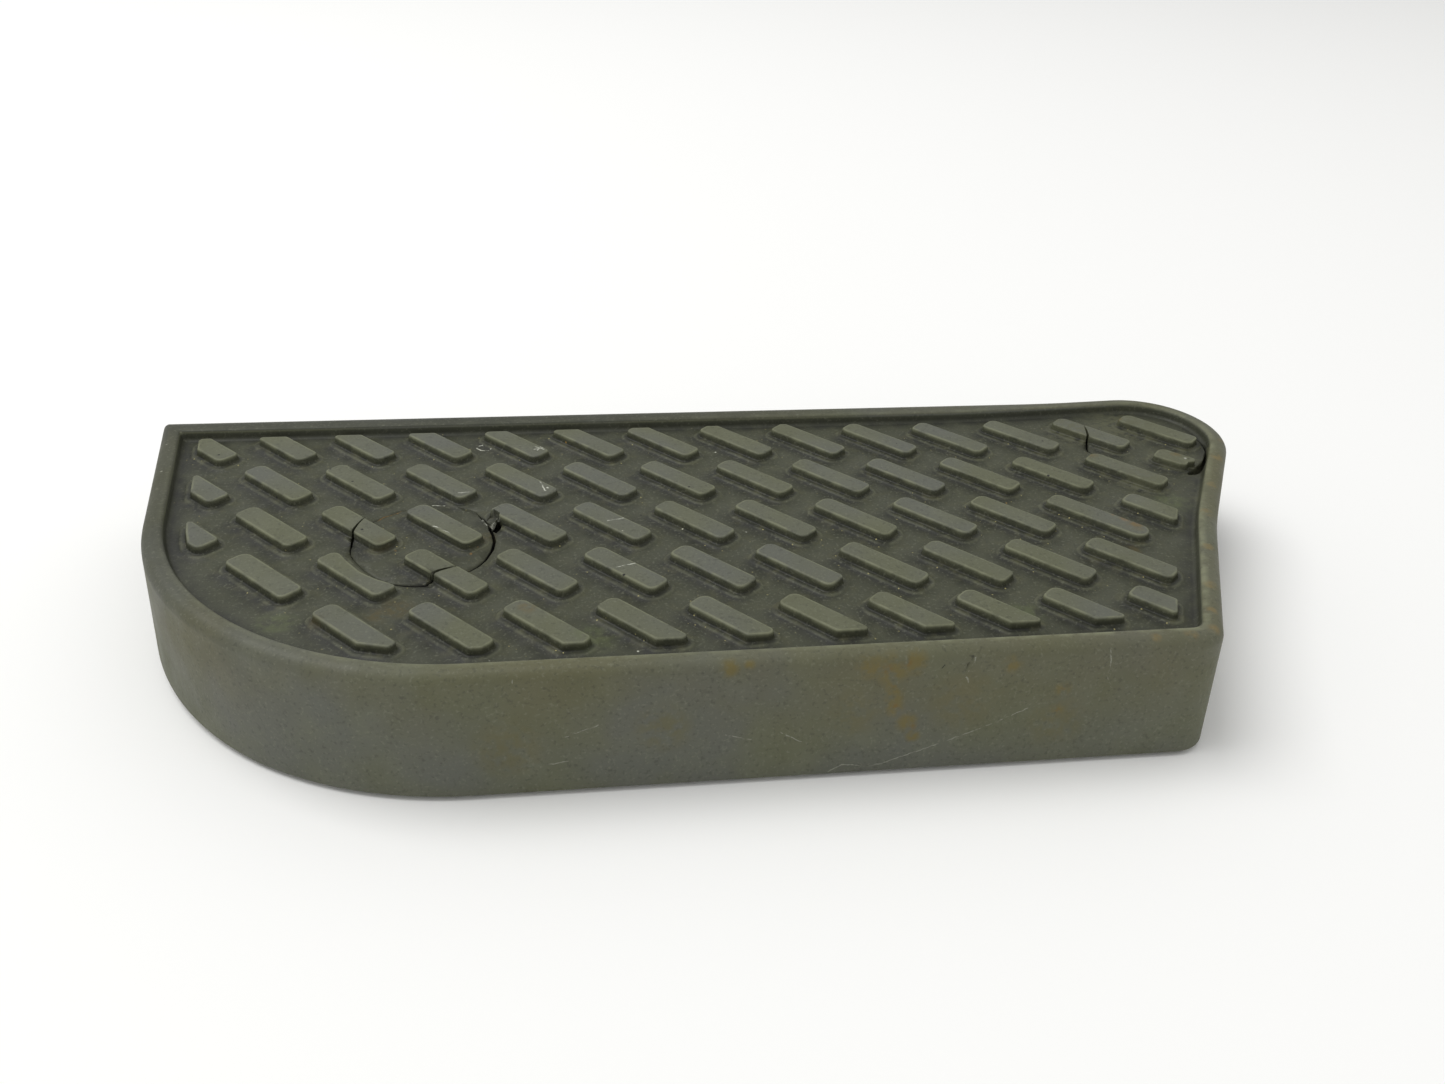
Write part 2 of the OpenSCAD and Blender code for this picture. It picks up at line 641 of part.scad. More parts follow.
module circuit_board() color([0.1, 0.38, 0.2]) translate([control[0], control[1], 0]) difference() {
    box(board_x[0], board_x[1], board_y[0], board_y[1], board_z, board_top);
    for (p = board_holes) translate([p[0], p[1], 0]) pin(small_screw_r + 0.1, board_z - 1, board_top + 1);
}

module board_screws() color(steel) for (p = board_holes)
    translate([control[0] + p[0], control[1] + p[1], board_top])
        screw(small_screw_r, board_t + 2.6, 2.2, 1.4);

triac_x = (sink_x[0] + sink_x[1]) / 2;
tab_t = 1.3;
tab_top = board_top + 12.3;
tab_hole_z = tab_top - 1.9;
module triac() color([0.08, 0.08, 0.08]) translate([control[0] + triac_x, control[1] + sink_y[0], 0]) {
    difference() {
        box(-5, 5, -tab_t, 0, board_top + 1.5, tab_top);
        translate([0, 0, tab_hole_z]) y_pin(screw_r + 0.1, 6);
    }
    box(-5, 5, -4.5, -tab_t + 0.2, board_top + 1.5, board_top + 7.6);
    for (x = [-2.54, 0, 2.54]) box(x - 0.4, x + 0.4, -2.8, -2.2, board_top, board_top + 2);
}

module heat_sink() color([0.75, 0.75, 0.78]) translate([control[0], control[1], 0]) difference() {
    union() {
        box(sink_x[0], sink_x[1], sink_y[0], sink_y[0] + 2.5, board_top, tab_top);
        for (k = [0:5]) let (x = sink_x[0] + k * (sink_x[1] - sink_x[0] - 1.4) / 5)
            box(x, x + 1.4, sink_y[0], sink_y[1], board_top, tab_top);
    }
    translate([triac_x, sink_y[0], tab_hole_z]) y_pin(screw_r, 5.4);
}

module triac_screw() color(steel)
    translate([control[0] + triac_x, control[1] + sink_y[0] - tab_t, tab_hole_z])
        rotate([90, 0, 0]) screw(screw_r, tab_t + 2.5, 1.8, 1.2);

module suppressor_capacitor() color([0.75, 0.6, 0.2]) translate([control[0], control[1], 0]) {
    box(38, 56, -4, 3, board_top + 0.6, board_top + 11);
    for (x = [40, 54]) translate([x, -0.5, 0]) pin(0.4, board_top, board_top + 1);
}

choke_r = 6;
winding_r = 2.6;
module choke() color([0.55, 0.3, 0.12]) translate([control[0] + 26, control[1] + 6, board_top]) {
    translate([0, 0, winding_r + 0.8]) rotate_extrude($fn = round_fn) translate([choke_r, 0])
        circle(winding_r, $fn = round_fn);
    ring(choke_r + 1.5, choke_r - 1.5, 0, 1.6);
}

module terminal_block() color([0.2, 0.4, 0.25]) translate([control[0], control[1], 0]) difference() {
    box(terminal_x[0], terminal_x[1], terminal_y[0], terminal_y[1], board_top, board_top + 9.5);
    for (k = [0:2]) translate([terminal_x[0] + 3 + 6 * k, 0, 0]) {
        translate([0, (terminal_y[0] + terminal_y[1]) / 2, 0]) pin(2, board_top + 6, board_top + 10);
        translate([0, terminal_y[1], board_top + 3.2]) y_pin(1.4, 12);
    }
}

module terminal_screws() color(steel) for (k = [0:2])
    translate([control[0] + terminal_x[0] + 3 + 6 * k, control[1] + (terminal_y[0] + terminal_y[1]) / 2,
        board_top + 6]) difference() {
            pin(1.8, 0, 2.4);
            box(-2, 2, -0.35, 0.35, 1.4, 3);
        }

// ---- Cord inlet ----

clamp_screw_x = 7;
module cord_gland() color(rubber_black) translate([gland_x, port_y, gland_z])
    rotate([-90, 0, 0]) difference() {
        union() {
            pin(gland_r, -port_t, gland_out);
            pin(gland_r + 1.4, -port_t - 1.2, -port_t);
        }
        pin(gland_bore_r, -port_t - 2, gland_out + 1);
        box(-clamp_w, clamp_w, gland_z - pan_floor, 2 * gland_z, -port_t - 2, -port_t + eps);
    }

module cord_clamp() color(nylon) difference() {
    box(gland_x - clamp_w, gland_x + clamp_w, clamp_y[0] + 0.5, clamp_y[1] - 0.5, gland_z, gland_z + 4.2);
    translate([gland_x, (clamp_y[0] + clamp_y[1]) / 2, gland_z]) y_pin(gland_bore_r, 8);
    for (s = [-1, 1]) translate([gland_x + s * clamp_screw_x, (clamp_y[0] + clamp_y[1]) / 2, 0])
        pin(screw_r + 0.1, gland_z - 1, gland_z + 5);
}

module clamp_screws() color(steel) for (s = [-1, 1])
    translate([gland_x + s * clamp_screw_x, (clamp_y[0] + clamp_y[1]) / 2, gland_z + 4.2])
        screw(screw_r, 6.8, 2.4, 1.6);

echo(least_spring_gap = (deck_under - pan_floor - cup_t - 0.1 - coil_wire) / coil_turns - coil_wire);

treadle_shell();
base_pan();
rubber_feet();
foot_screws();
hinge_rod();
hinge_bushes();
rod_clips();
left_spring();
right_spring();
spring_cups();
down_stops();
stop_brackets();
stop_pads();
bracket_screws();
speed_rack();
rack_guide();
guide_screws();
rack_spring();
pinion_gear();
pot_shaft();
potentiometer();
circuit_board();
board_screws();
triac();
heat_sink();
triac_screw();
suppressor_capacitor();
choke();
terminal_block();
terminal_screws();
cord_gland();
cord_clamp();
clamp_screws();
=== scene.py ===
import json
import math
import random

import bmesh
import bpy
import numpy as np
from mathutils import Matrix, Vector
from mathutils.geometry import delaunay_2d_cdt


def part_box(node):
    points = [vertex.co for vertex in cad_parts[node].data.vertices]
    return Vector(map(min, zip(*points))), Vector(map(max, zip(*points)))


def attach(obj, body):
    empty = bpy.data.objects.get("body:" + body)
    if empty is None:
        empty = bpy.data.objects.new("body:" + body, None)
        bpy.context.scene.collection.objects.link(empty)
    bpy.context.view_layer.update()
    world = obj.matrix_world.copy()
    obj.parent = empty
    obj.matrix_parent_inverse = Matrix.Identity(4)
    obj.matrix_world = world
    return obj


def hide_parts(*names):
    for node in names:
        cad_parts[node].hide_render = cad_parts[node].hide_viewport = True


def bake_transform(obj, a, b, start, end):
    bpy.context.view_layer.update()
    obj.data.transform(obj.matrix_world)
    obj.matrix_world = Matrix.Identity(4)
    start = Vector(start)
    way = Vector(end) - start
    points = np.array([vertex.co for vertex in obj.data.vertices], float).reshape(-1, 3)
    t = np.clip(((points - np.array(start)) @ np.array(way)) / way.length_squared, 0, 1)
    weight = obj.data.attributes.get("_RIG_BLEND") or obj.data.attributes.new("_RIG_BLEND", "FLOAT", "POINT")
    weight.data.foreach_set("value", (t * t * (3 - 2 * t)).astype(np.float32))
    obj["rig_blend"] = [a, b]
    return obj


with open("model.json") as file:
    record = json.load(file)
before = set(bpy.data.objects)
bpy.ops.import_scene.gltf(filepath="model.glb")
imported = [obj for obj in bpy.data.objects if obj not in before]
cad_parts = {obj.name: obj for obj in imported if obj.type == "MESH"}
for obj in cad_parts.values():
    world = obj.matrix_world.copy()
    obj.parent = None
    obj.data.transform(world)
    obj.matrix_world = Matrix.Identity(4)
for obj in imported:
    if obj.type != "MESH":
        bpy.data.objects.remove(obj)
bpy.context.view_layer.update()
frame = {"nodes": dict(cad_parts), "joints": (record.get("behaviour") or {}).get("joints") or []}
mm = 0.001
print("frame loaded:", len(frame["nodes"]), "pieces")


def hexColour(code):
    # sRGB hex to the linear values that Blender works in
    parts = [int(code[k:k + 2], 16) / 255 for k in (1, 3, 5)]
    return tuple(c / 12.92 if c <= 0.04045 else ((c + 0.055) / 1.055) ** 2.4 for c in parts) + (1.0,)


def addNode(tree, kind, inputs=None, **settings):
    # an input is a number, a socket, or a node whose first output goes in
    node = tree.nodes.new(kind)
    for name, value in settings.items():
        setattr(node, name, value)
    for key, value in (inputs or {}).items():
        if isinstance(value, bpy.types.Node):
            value = value.outputs[0]
        if isinstance(value, bpy.types.NodeSocket):
            tree.links.new(value, node.inputs[key])
        else:
            node.inputs[key].default_value = value
    return node


def perSize(size):
    # texture scale for a pattern this many mm across
    return 1.0 / (size * mm)


def linkObject(name, mesh):
    obj = bpy.data.objects.new(name, mesh)
    bpy.context.scene.collection.objects.link(obj)
    return obj


def meshObject(name, points, faces, scale=mm):
    mesh = bpy.data.meshes.new(name)
    mesh.from_pydata([[c * scale for c in p] for p in points], [], faces)
    mesh.validate()
    return linkObject(name, mesh)


def edited(mesh, change):
    # a mesh changed in bmesh
    shape = bmesh.new()
    shape.from_mesh(mesh)
    change(shape)
    shape.to_mesh(mesh)
    shape.free()


def turnedOut(obj):
    # all faces of an object look outwards
    edited(obj.data, lambda shape: bmesh.ops.recalc_face_normals(shape, faces=shape.faces))
    return obj


def hullObject(name, points):
    # convex solid round a few points
    def wrap(shape):
        made = bmesh.ops.convex_hull(shape, input=shape.verts)
        loose = [g for g in made["geom_interior"] if isinstance(g, bmesh.types.BMVert)]
        bmesh.ops.delete(shape, geom=loose)

    obj = meshObject(name, points, [])
    edited(obj.data, wrap)
    return turnedOut(obj)


def ringLines(first, n):
    # pairs of neighbours round a closed ring of n points
    return [(first + i, first + (i + 1) % n) for i in range(n)]


def band(first, second, n):
    # faces between two closed rings of n points
    return [(i, j, j + second - first, i + second - first) for i, j in ringLines(first, n)]


def ringSolid(name, rings):
    # closed solid through rings with as many points each, capped at both ends
    n = len(rings[0])
    points = [p for ring in rings for p in ring]
    faces = [tuple(range(n - 1, -1, -1)), tuple(range(len(points) - n, len(points)))]
    for k in range(len(rings) - 1):
        faces += band(k * n, (k + 1) * n, n)
    return turnedOut(meshObject(name, points, faces))


def bakedCopy(obj, name):
    # plain mesh of an object with all its modifiers, and the object is gone
    bpy.context.view_layer.update()
    graph = bpy.context.evaluated_depsgraph_get()
    mesh = bpy.data.meshes.new_from_object(obj.evaluated_get(graph), depsgraph=graph)
    bpy.data.objects.remove(obj)
    mesh.name = name
    return linkObject(name, mesh)


def boolean(obj, other, operation):
    modifier = obj.modifiers.new("cut", "BOOLEAN")
    modifier.operation = operation
    modifier.solver = "EXACT"
    modifier.object = other
    made = bakedCopy(obj, obj.name)
    bpy.data.objects.remove(other)
    return made


def joined(name, parts):
    # one mesh of several closed ones
    points, faces = [], []
    for part in parts:
        start = len(points)
        points += [tuple(v.co) for v in part.data.vertices]
        faces += [tuple(start + v for v in p.vertices) for p in part.data.polygons]
        bpy.data.objects.remove(part)
    return meshObject(name, points, faces, 1.0)


def nodeGroup(name, inputs):
    # a Geometry Nodes tree with these inputs, by name and kind, and the sockets that they come out of
    tree = bpy.data.node_groups.new(name, "GeometryNodeTree")
    for label, kind in inputs:
        tree.interface.new_socket(label, in_out="INPUT", socket_type="NodeSocket" + kind)
    tree.interface.new_socket("Geometry", in_out="OUTPUT", socket_type="NodeSocketGeometry")
    return tree, addNode(tree, "NodeGroupInput").outputs


def endTree(tree, geometry, material):
    real = addNode(tree, "GeometryNodeRealizeInstances", {"Geometry": geometry})
    painted = addNode(tree, "GeometryNodeSetMaterial", {"Geometry": real, "Material": material})
    addNode(tree, "NodeGroupOutput", {0: painted})


def grown(obj, tree, values):
    # plain mesh of what the tree makes of an object; a value goes in by its socket's identifier
    modifier = obj.modifiers.new("grow", "NODES")
    modifier.node_group = tree
    sockets = {item.name: item.identifier for item in tree.interface.items_tree if item.in_out == "INPUT"}
    for name, value in values.items():
        modifier[sockets[name]] = value
    return bakedCopy(obj, obj.name)


def finishEdges(mesh, degrees):
    mesh.shade_smooth()
    mesh.set_sharp_from_angle(angle=math.radians(degrees))


camera = {
    "place": (-42.4, -259.7, 184.1),   # mm
    "azimuth": 8.87,                   # degrees, clockwise from +Y
    "down": 31.50,
    "roll": 2.52,
    "lens": 30.89, "sensor": 36,       # mm
}


def makeCamera():
    data = bpy.data.cameras.new("camera")
    data.sensor_width = camera["sensor"]
    data.lens = camera["lens"]
    data.clip_start = 0.01
    obj = linkObject("camera", data)
    turned = (Matrix.Rotation(-math.radians(camera["azimuth"]), 4, "Z")
              @ Matrix.Rotation(math.radians(90 - camera["down"]), 4, "X")
              @ Matrix.Rotation(math.radians(camera["roll"]), 4, "Z"))
    obj.matrix_world = Matrix.Translation(Vector(camera["place"]) * mm) @ turned
    bpy.context.scene.camera = obj


makeCamera()

tread = {   # mm and degrees, the moulding's own driving sizes
    "depth": 118.0, "front": 228.9, "leftLean": 8.235, "noseR": 78.0, "heelR": 8.0, "backR": 3.0,
    "heelLean": 24.7, "waistRise": 50.0, "earLean": 29.919, "waistR": 178.0, "earR": 22.7,
    "earRise": 5.7, "flareLean": 3.7, "flareR": 311.0,
    "backWide": 2.4, "backWideEnd": 4.5,                     # the back rim's extra width, and where it ends
    "backTopR": 1.8, "backInnerR": 1.0, "heelInnerR": 4.2,   # the corners' radii higher up and inside
    "leastR": 0.4,
    "arcSteps": [8, 56, 14, 14, 48, 12], "straight": 6.0,    # points on each corner, and mm between others
}


def unit(v):
    return v / math.hypot(*v)


def leftOf(v):
    return np.array([-v[1], v[0]])


def cross(a, b):
    return a[0] * b[1] - a[1] * b[0]


def loopMaker(corners, radii, steps, straight, widened=(None, 0.0, 1.0)):
    # gives a function of inset: rows of x, y, outward direction and the bend's radius, below zero inwards;
    # the widened side starts further out, and is back in its place at the last inset
    corners = [np.array(c, float) for c in corners]
    n = len(corners)
    side = [unit(corners[(i + 1) % n] - corners[i]) for i in range(n)]

    def moveOf(i, inset):
        wide, out, end = widened
        return inset - out * min(1, max(0, 1 - inset / end)) * (i % n == wide)

    def arc(i, inset, own):
        a, b = side[i - 1], side[i]
        turn = math.acos(float(np.clip(a @ b, -1, 1)))
        bend = 1 if cross(a, b) > 0 else -1
        moved = corners[i] + (moveOf(i - 1, inset) * b - moveOf(i, inset) * a) / cross(a, b)
        r = own.get(i, max(radii[i] - bend * inset, tread["leastR"]))
        centre = moved - a * r * math.tan(turn / 2) + bend * r * leftOf(a)
        start = math.atan2(-bend * leftOf(a)[1], -bend * leftOf(a)[0])
        rows = []
        for k in range(steps[i] + 1):
            t = start + bend * turn * k / steps[i]
            out = np.array([math.cos(t), math.sin(t)])
            rows.append([*(centre + r * out), *(bend * out), bend * r])
        return rows

    base = [arc(i, 0, {}) for i in range(n)]
    between = [max(0, round(math.dist(base[i][-1][:2], base[(i + 1) % n][0][:2]) / straight) - 1)
               for i in range(n)]

    def loop(inset=0.0, own=None):
        arcs = [arc(i, inset, own or {}) for i in range(n)]
        rows = []
        for i in range(n):
            rows += arcs[i]
            a, b = np.array(arcs[i][-1][:2]), np.array(arcs[(i + 1) % n][0][:2])
            for k in range(between[i]):
                p = a + (b - a) * (k + 1) / (between[i] + 1)
                rows.append([*p, *(-leftOf(side[i])), math.inf])
        return np.array(rows)

    return loop


def movedIn(corners, insets):
    # corner points after each side moves inwards by its own inset
    n = len(corners)
    points = [np.array(c, float) for c in corners]
    side = [unit(points[(i + 1) % n] - points[i]) for i in range(n)]
    return [points[i] + (insets[i - 1] * side[i] - insets[i] * side[i - 1]) / cross(side[i - 1], side[i])
            for i in range(n)]


def treadCorners(t):
    lean = {name: math.tan(math.radians(t[name]))
            for name in ("leftLean", "heelLean", "earLean", "flareLean")}
    backLeft = (-t["depth"] * lean["leftLean"], t["depth"])
    waist = (t["front"] + t["waistRise"] * lean["heelLean"], t["waistRise"])
    earRun = t["depth"] + t["earRise"] - t["waistRise"]
    ear = (waist[0] + earRun * lean["earLean"], waist[1] + earRun)
    flare = (ear[0] - t["earRise"] / lean["flareLean"], t["depth"])
    return [backLeft, (0, 0), (t["front"], 0), waist, ear, flare]


cornerRadii = [tread[k] for k in ("backR", "noseR", "heelR", "waistR", "earR", "flareR")]
rawLoop = loopMaker(treadCorners(tread), cornerRadii, tread["arcSteps"], tread["straight"],
                    (5, tread["backWide"], tread["backWideEnd"]))
rawEdge = rawLoop(0)
middle = (rawEdge[:, :2].min(0) + rawEdge[:, :2].max(0)) / 2


def outline(inset, own=None):
    rows = rawLoop(inset, own)
    rows[:, :2] -= middle
    return rows


def insideLoop(points, loop):
    # which of the points lie inside a closed loop
    x, y = points[:, 0][:, None], points[:, 1][:, None]
    a, b = loop[:, :2], np.roll(loop[:, :2], -1, 0)
    straddles = (a[:, 1] > y) != (b[:, 1] > y)
    rise = np.where(b[:, 1] == a[:, 1], 1e-9, b[:, 1] - a[:, 1])
    return (straddles & (x < (b[:, 0] - a[:, 0]) * (y - a[:, 1]) / rise + a[:, 0])).sum(1) % 2 == 1


def distanceTo(points, loop):
    # least distance of each point from a closed loop's line
    a, b = loop[:, :2], np.roll(loop[:, :2], -1, 0)
    ab = b - a
    best = np.full(len(points), 1e9)
    for start in range(0, len(points), 4000):
        p = points[start:start + 4000, None, :2]
        t = np.clip(((p - a) * ab).sum(2) / np.maximum((ab * ab).sum(1), 1e-12), 0, 1)
        best[start:start + 4000] = np.sqrt((((p - a) - t[..., None] * ab) ** 2).sum(2)).min(1)
    return best


bars = {   # mm and degrees; each bar's outline is that of its top
    "pitch": 20.0, "rowPitch": 21.2, "length": 21.7, "width": 5.7, "turn": -45.0,
    "corners": (1.3, 1.7, 1.3, 2.2),   # radii: lower left, lower right, upper right, upper left
    "cutCorner": 0.8, "sameCorner": 0.3, "rowTurn": -2.0, "rowShift": 2.65, "start": (9.0, 90.0),
    "margins": (10.0, 10.3, 10.1, 9.9, 8.6, 8.6), "marginR": (1.0, 67.7, 1.0, 188.0, 9.4, 320.0),
    "marginSteps": [6, 40, 6, 14, 24, 8],
    "spans": [(-1, 12), (-1, 12), (-1, 11), (0, 10), (1, 10)], "leastArea": 9.0,
    "height": 2.3, "padWidth": 1.7, "padHeight": 0.34, "footR": 0.5, "edgeR": 0.45, "draft": 0.2,
    "arcSteps": 6, "straight": 3.0,
    "reach": 0.12, "flatTop": 0.3,     # the wall's top outside the outline, and its least
    "rimGap": 0.25, "barGap": 0.15, "leastPad": 0.15,   # room that the pads leave, and their least width
    "fold": 0.9,                       # share of an inner bend's radius that its pad may take
    "longer": {(2, 10): 4.5, (3, 2): 1.5, (2, 1): 0.4, (2, 2): 0.4},   # by row, from the back, and place
    "rounded": {(2, 10): (1.3, 2.7, 2.7, 2.2)},
    "moved": {(3, 2): (-0.8, 0.85), (0, 12): (2.0, 3.6), (0, 11): (1.6, 1.9), (1, 11): (1.0, 1.3),
              (0, 10): (0.8, 0.9)},
    "whole": [(0, 12)],                # not cut at the margin
    "bitten": {(3, 1): [(-79.6, -24.6, 3), (-82.4, -22.9, 5), (-86.4, -19.7, 12), (-90.2, -14.2, 8)]},
    "broken": {(1, 12): [(120.3, 23.9), (126.0, 18.7), (127.4, 18.3), (128.6, 19.6), (130.6, 19.9),
                         (131.3, 21.4), (124.3, 28.3)]},
    "brokenR": (1.3, 0.5, 2.0),        # first corner, those between, last corner
}


def barRect(row, i):
    turn, rowTurn = math.radians(bars["turn"] + bars["rowTurn"]), math.radians(bars["rowTurn"])
    along = np.array([math.cos(turn), math.sin(turn)])
    x, y = i * bars["pitch"] + (row - 1) * bars["rowShift"], (1 - row) * bars["rowPitch"]
    corner = np.array([x * math.cos(rowTurn) - y * math.sin(rowTurn),
                       x * math.sin(rowTurn) + y * math.cos(rowTurn)])
    corner = corner + np.array(bars["start"]) - middle + np.array(bars["moved"].get((row, i), (0, 0)))
    length = bars["length"] + bars["longer"].get((row, i), 0)
    across = leftOf(along) * bars["width"]
    return [corner, corner + along * length, corner + along * length + across, corner + across]


def clipped(shape, region):
    # the closed loop shape, cut to a convex region
    kept = [np.array(p, float) for p in shape]
    for k in range(len(region)):
        a, b = region[k], region[(k + 1) % len(region)]
        cut, source = [], kept
        for j in range(len(source)):
            p, q = source[j - 1], source[j]
            sp, sq = cross(b - a, p - a), cross(b - a, q - a)
            if (sp >= 0) != (sq >= 0):
                cut.append(p + (q - p) * sp / (sp - sq))
            if sq >= 0:
                cut.append(q)
        kept = cut
        if not kept:
            return []
    return kept


def areaOf(points):
    return sum(cross(points[k - 1], points[k]) for k in range(len(points))) / 2


def simplified(points, least=1.0, flat=0.12):
    # drops points that hardly bend the outline, then those too close together
    points = list(points)
    changed = True
    while changed and len(points) > 3:
        changed = False
        for k in range(len(points)):
            a, p, b = points[k - 1], points[k], points[(k + 1) % len(points)]
            ab = b - a
            if abs(cross(ab, p - a)) / max(math.hypot(*ab), 1e-9) < flat:
                points.pop(k)
                changed = True
                break
    merged = []
    for p in points:
        if merged and math.dist(p, merged[-1]) < least:
            merged[-1] = (merged[-1] + p) / 2
        else:
            merged.append(p)
    if len(merged) > 3 and math.dist(merged[0], merged[-1]) < least:
        merged[0] = (merged[0] + merged[-1]) / 2
        merged.pop()
    return merged


def limitedRadii(corners, radii, most=0.48):
    # no arc takes more than its share of the sides that it joins
    n, limited = len(corners), []
    for i in range(n):
        a, b = corners[i] - corners[i - 1], corners[(i + 1) % n] - corners[i]
        turn = math.acos(float(np.clip(unit(a) @ unit(b), -1, 1)))
        room = most * min(math.hypot(*a), math.hypot(*b)) / max(math.tan(turn / 2), 1e-3)
        limited.append(min(radii[i], room))
    return limited


def barOutlines():
    # the loop round each bar, by row and place
    field = loopMaker(movedIn(treadCorners(tread), bars["margins"]), bars["marginR"],
                      bars["marginSteps"], tread["straight"])(0)[:, :2] - middle
    found = {}
    for key in [(row, i) for row, (first, last) in enumerate(bars["spans"])
                for i in range(first, last + 1)]:
        rect = barRect(*key)
        corners, radii = rect, list(bars["rounded"].get(key, bars["corners"]))
        if key in bars["bitten"]:
            bite = bars["bitten"][key]
            corners = rect[:3] + [np.array(b[:2]) for b in bite] + rect[3:]
            radii = radii[:3] + [b[2] for b in bite] + radii[3:]
        elif key in bars["broken"]:
            corners = [np.array(p) for p in bars["broken"][key]]
            first, between, last = bars["brokenR"]
            radii = [first] + [between] * (len(corners) - 2) + [last]
        elif key not in bars["whole"] and not insideLoop(np.array(rect), field).all():
            cut = clipped(field, rect)
            corners = simplified(cut) if cut else []
            if len(corners) < 3 or areaOf(corners) < bars["leastArea"]:
                continue
            radii = []
            for c in corners:
                near = [k for k in range(4) if math.dist(c, rect[k]) < bars["sameCorner"]]
                radii.append(bars["corners"][near[0]] if near else bars["cutCorner"])
        found[key] = loopMaker(corners, limitedRadii(corners, radii), [bars["arcSteps"]] * len(corners),
                               bars["straight"])(0)
    return found


barShapes = barOutlines()
print("tread bars:", len(barShapes))

cadLow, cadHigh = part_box("treadle_shell")
hinge = [j for j in frame["joints"] if j["name"] == "treadle_hinge"][0]
shell = {   # mm
    "top": cadHigh.z / mm, "low": cadLow.z / mm, "rimWidth": 5.0, "rimDepth": 2.8, "edgeR": 3.0,
    "flare": 1.42, "lip": 1.3, "lipR": 0.35, "lipLift": 0.08, "innerR": 0.9, "filletR": 1.1,
    "innerDraft": 0.25, "hingeY": hinge["pos_m"][1] / mm, "rise": 3.2, "coreInset": 0.8,
    "coreTop": 26.5, "capTop": 26.0, "wallRows": 10, "archR": 6.03, "archTop": 19.48, "archDepth": 8.0,
    "gridStep": 3.0, "gridSpread": 0.25, "gridToRim": 1.2, "gridToBar": 0.9, "nudge": 0.004,
    "weld": 0.001, "sharpAngle": 38, "seed": 4,
}
shell["floor"] = shell["top"] - shell["rimDepth"]
barTop = shell["floor"] + bars["height"]


def lowEdge(y):
    # the skirt's lower edge rises behind the hinge line, so that the treadle can tip
    rise = np.maximum(0.0, y - shell["hingeY"]) * math.tan(math.radians(shell["rise"]))
    return shell["low"] + shell["lipLift"] + rise


def skirtRing(share, inward=0.0, lift=0.0):
    # points on the skirt, share of the way from its lower edge to the wall's top
    wallTop = shell["top"] - shell["edgeR"]
    sharp = tread["backR"] + (tread["backTopR"] - tread["backR"]) * share
    rows = outline(0, {0: sharp})
    low = lowEdge(rows[:, 1])
    z = low + (wallTop - low) * share + lift
    out = shell["flare"] * (wallTop - z) / (wallTop - shell["low"]) - inward
    return [(x + nx * o, y + ny * o, h) for (x, y, nx, ny, _), o, h in zip(rows, out, z)]


def rimRing(inset, height):
    # points on the rounded rim; its two tight corners have radii of their own
    s, t = shell, tread
    if inset < s["rimWidth"] - s["innerR"] - 0.5:
        own = {0: max(t["backTopR"] - inset, t["leastR"])}
    else:
        own = {0: t["backInnerR"], 2: t["heelInnerR"] + s["rimWidth"] - inset}
    return [(x, y, height) for x, y, *_ in outline(inset, own)]


def angles(n, whole=90):
    # from nothing to the whole angle in n steps
    return [math.radians(whole * k / n) for k in range(n + 1)]


def shellRings():
    s = shell
    wallTop = s["top"] - s["edgeR"]
    rings = [skirtRing(0, s["flare"] + s["lip"])]
    rings += [skirtRing(0, s["lipR"] * (1 - math.sin(a)), s["lipR"] * (1 - math.cos(a)))
              for a in angles(3)]
    rings += [skirtRing(k / s["wallRows"]) for k in range(1, s["wallRows"] + 1)]
    rings += [rimRing(s["edgeR"] * (1 - math.cos(a)), wallTop + s["edgeR"] * math.sin(a))
              for a in angles(8)[1:]]
    rings += [rimRing(s["rimWidth"] - s["innerR"] * (1 - math.sin(a)),
                      s["top"] - s["innerR"] * (1 - math.cos(a))) for a in angles(5, 85)]
    rings += [rimRing(s["rimWidth"] + s["innerDraft"] + s["filletR"] * (1 - math.cos(a)),
                      s["floor"] + s["filletR"] * (1 - math.sin(a))) for a in angles(5)]
    return rings


def footRows(edge):
    # each bar's foot: how far outside its outline, and its direction scaled to match
    reach = bars["padWidth"] + bars["draft"] + bars["reach"]
    inner = bars["edgeR"] + bars["flatTop"] - bars["reach"]
    feet = {}
    for key, rows in barShapes.items():
        room = np.minimum(reach, distanceTo(rows, edge) - bars["rimGap"])
        for other, theirs in barShapes.items():
            if other != key and math.dist(rows[0, :2], theirs[0, :2]) < 3 * bars["pitch"]:
                room = np.minimum(room, distanceTo(rows, theirs) / 2 - bars["barGap"])
        bend = rows[:, 4]
        share = np.minimum(np.maximum(room, bars["leastPad"]) / reach,
                           np.where(bend > 0, bend / inner, -bars["fold"] * bend / reach))
        out = rows[:, 2:4] * share[:, None]
        feet[key] = np.column_stack([rows[:, :2] + out * reach, out])
    return feet


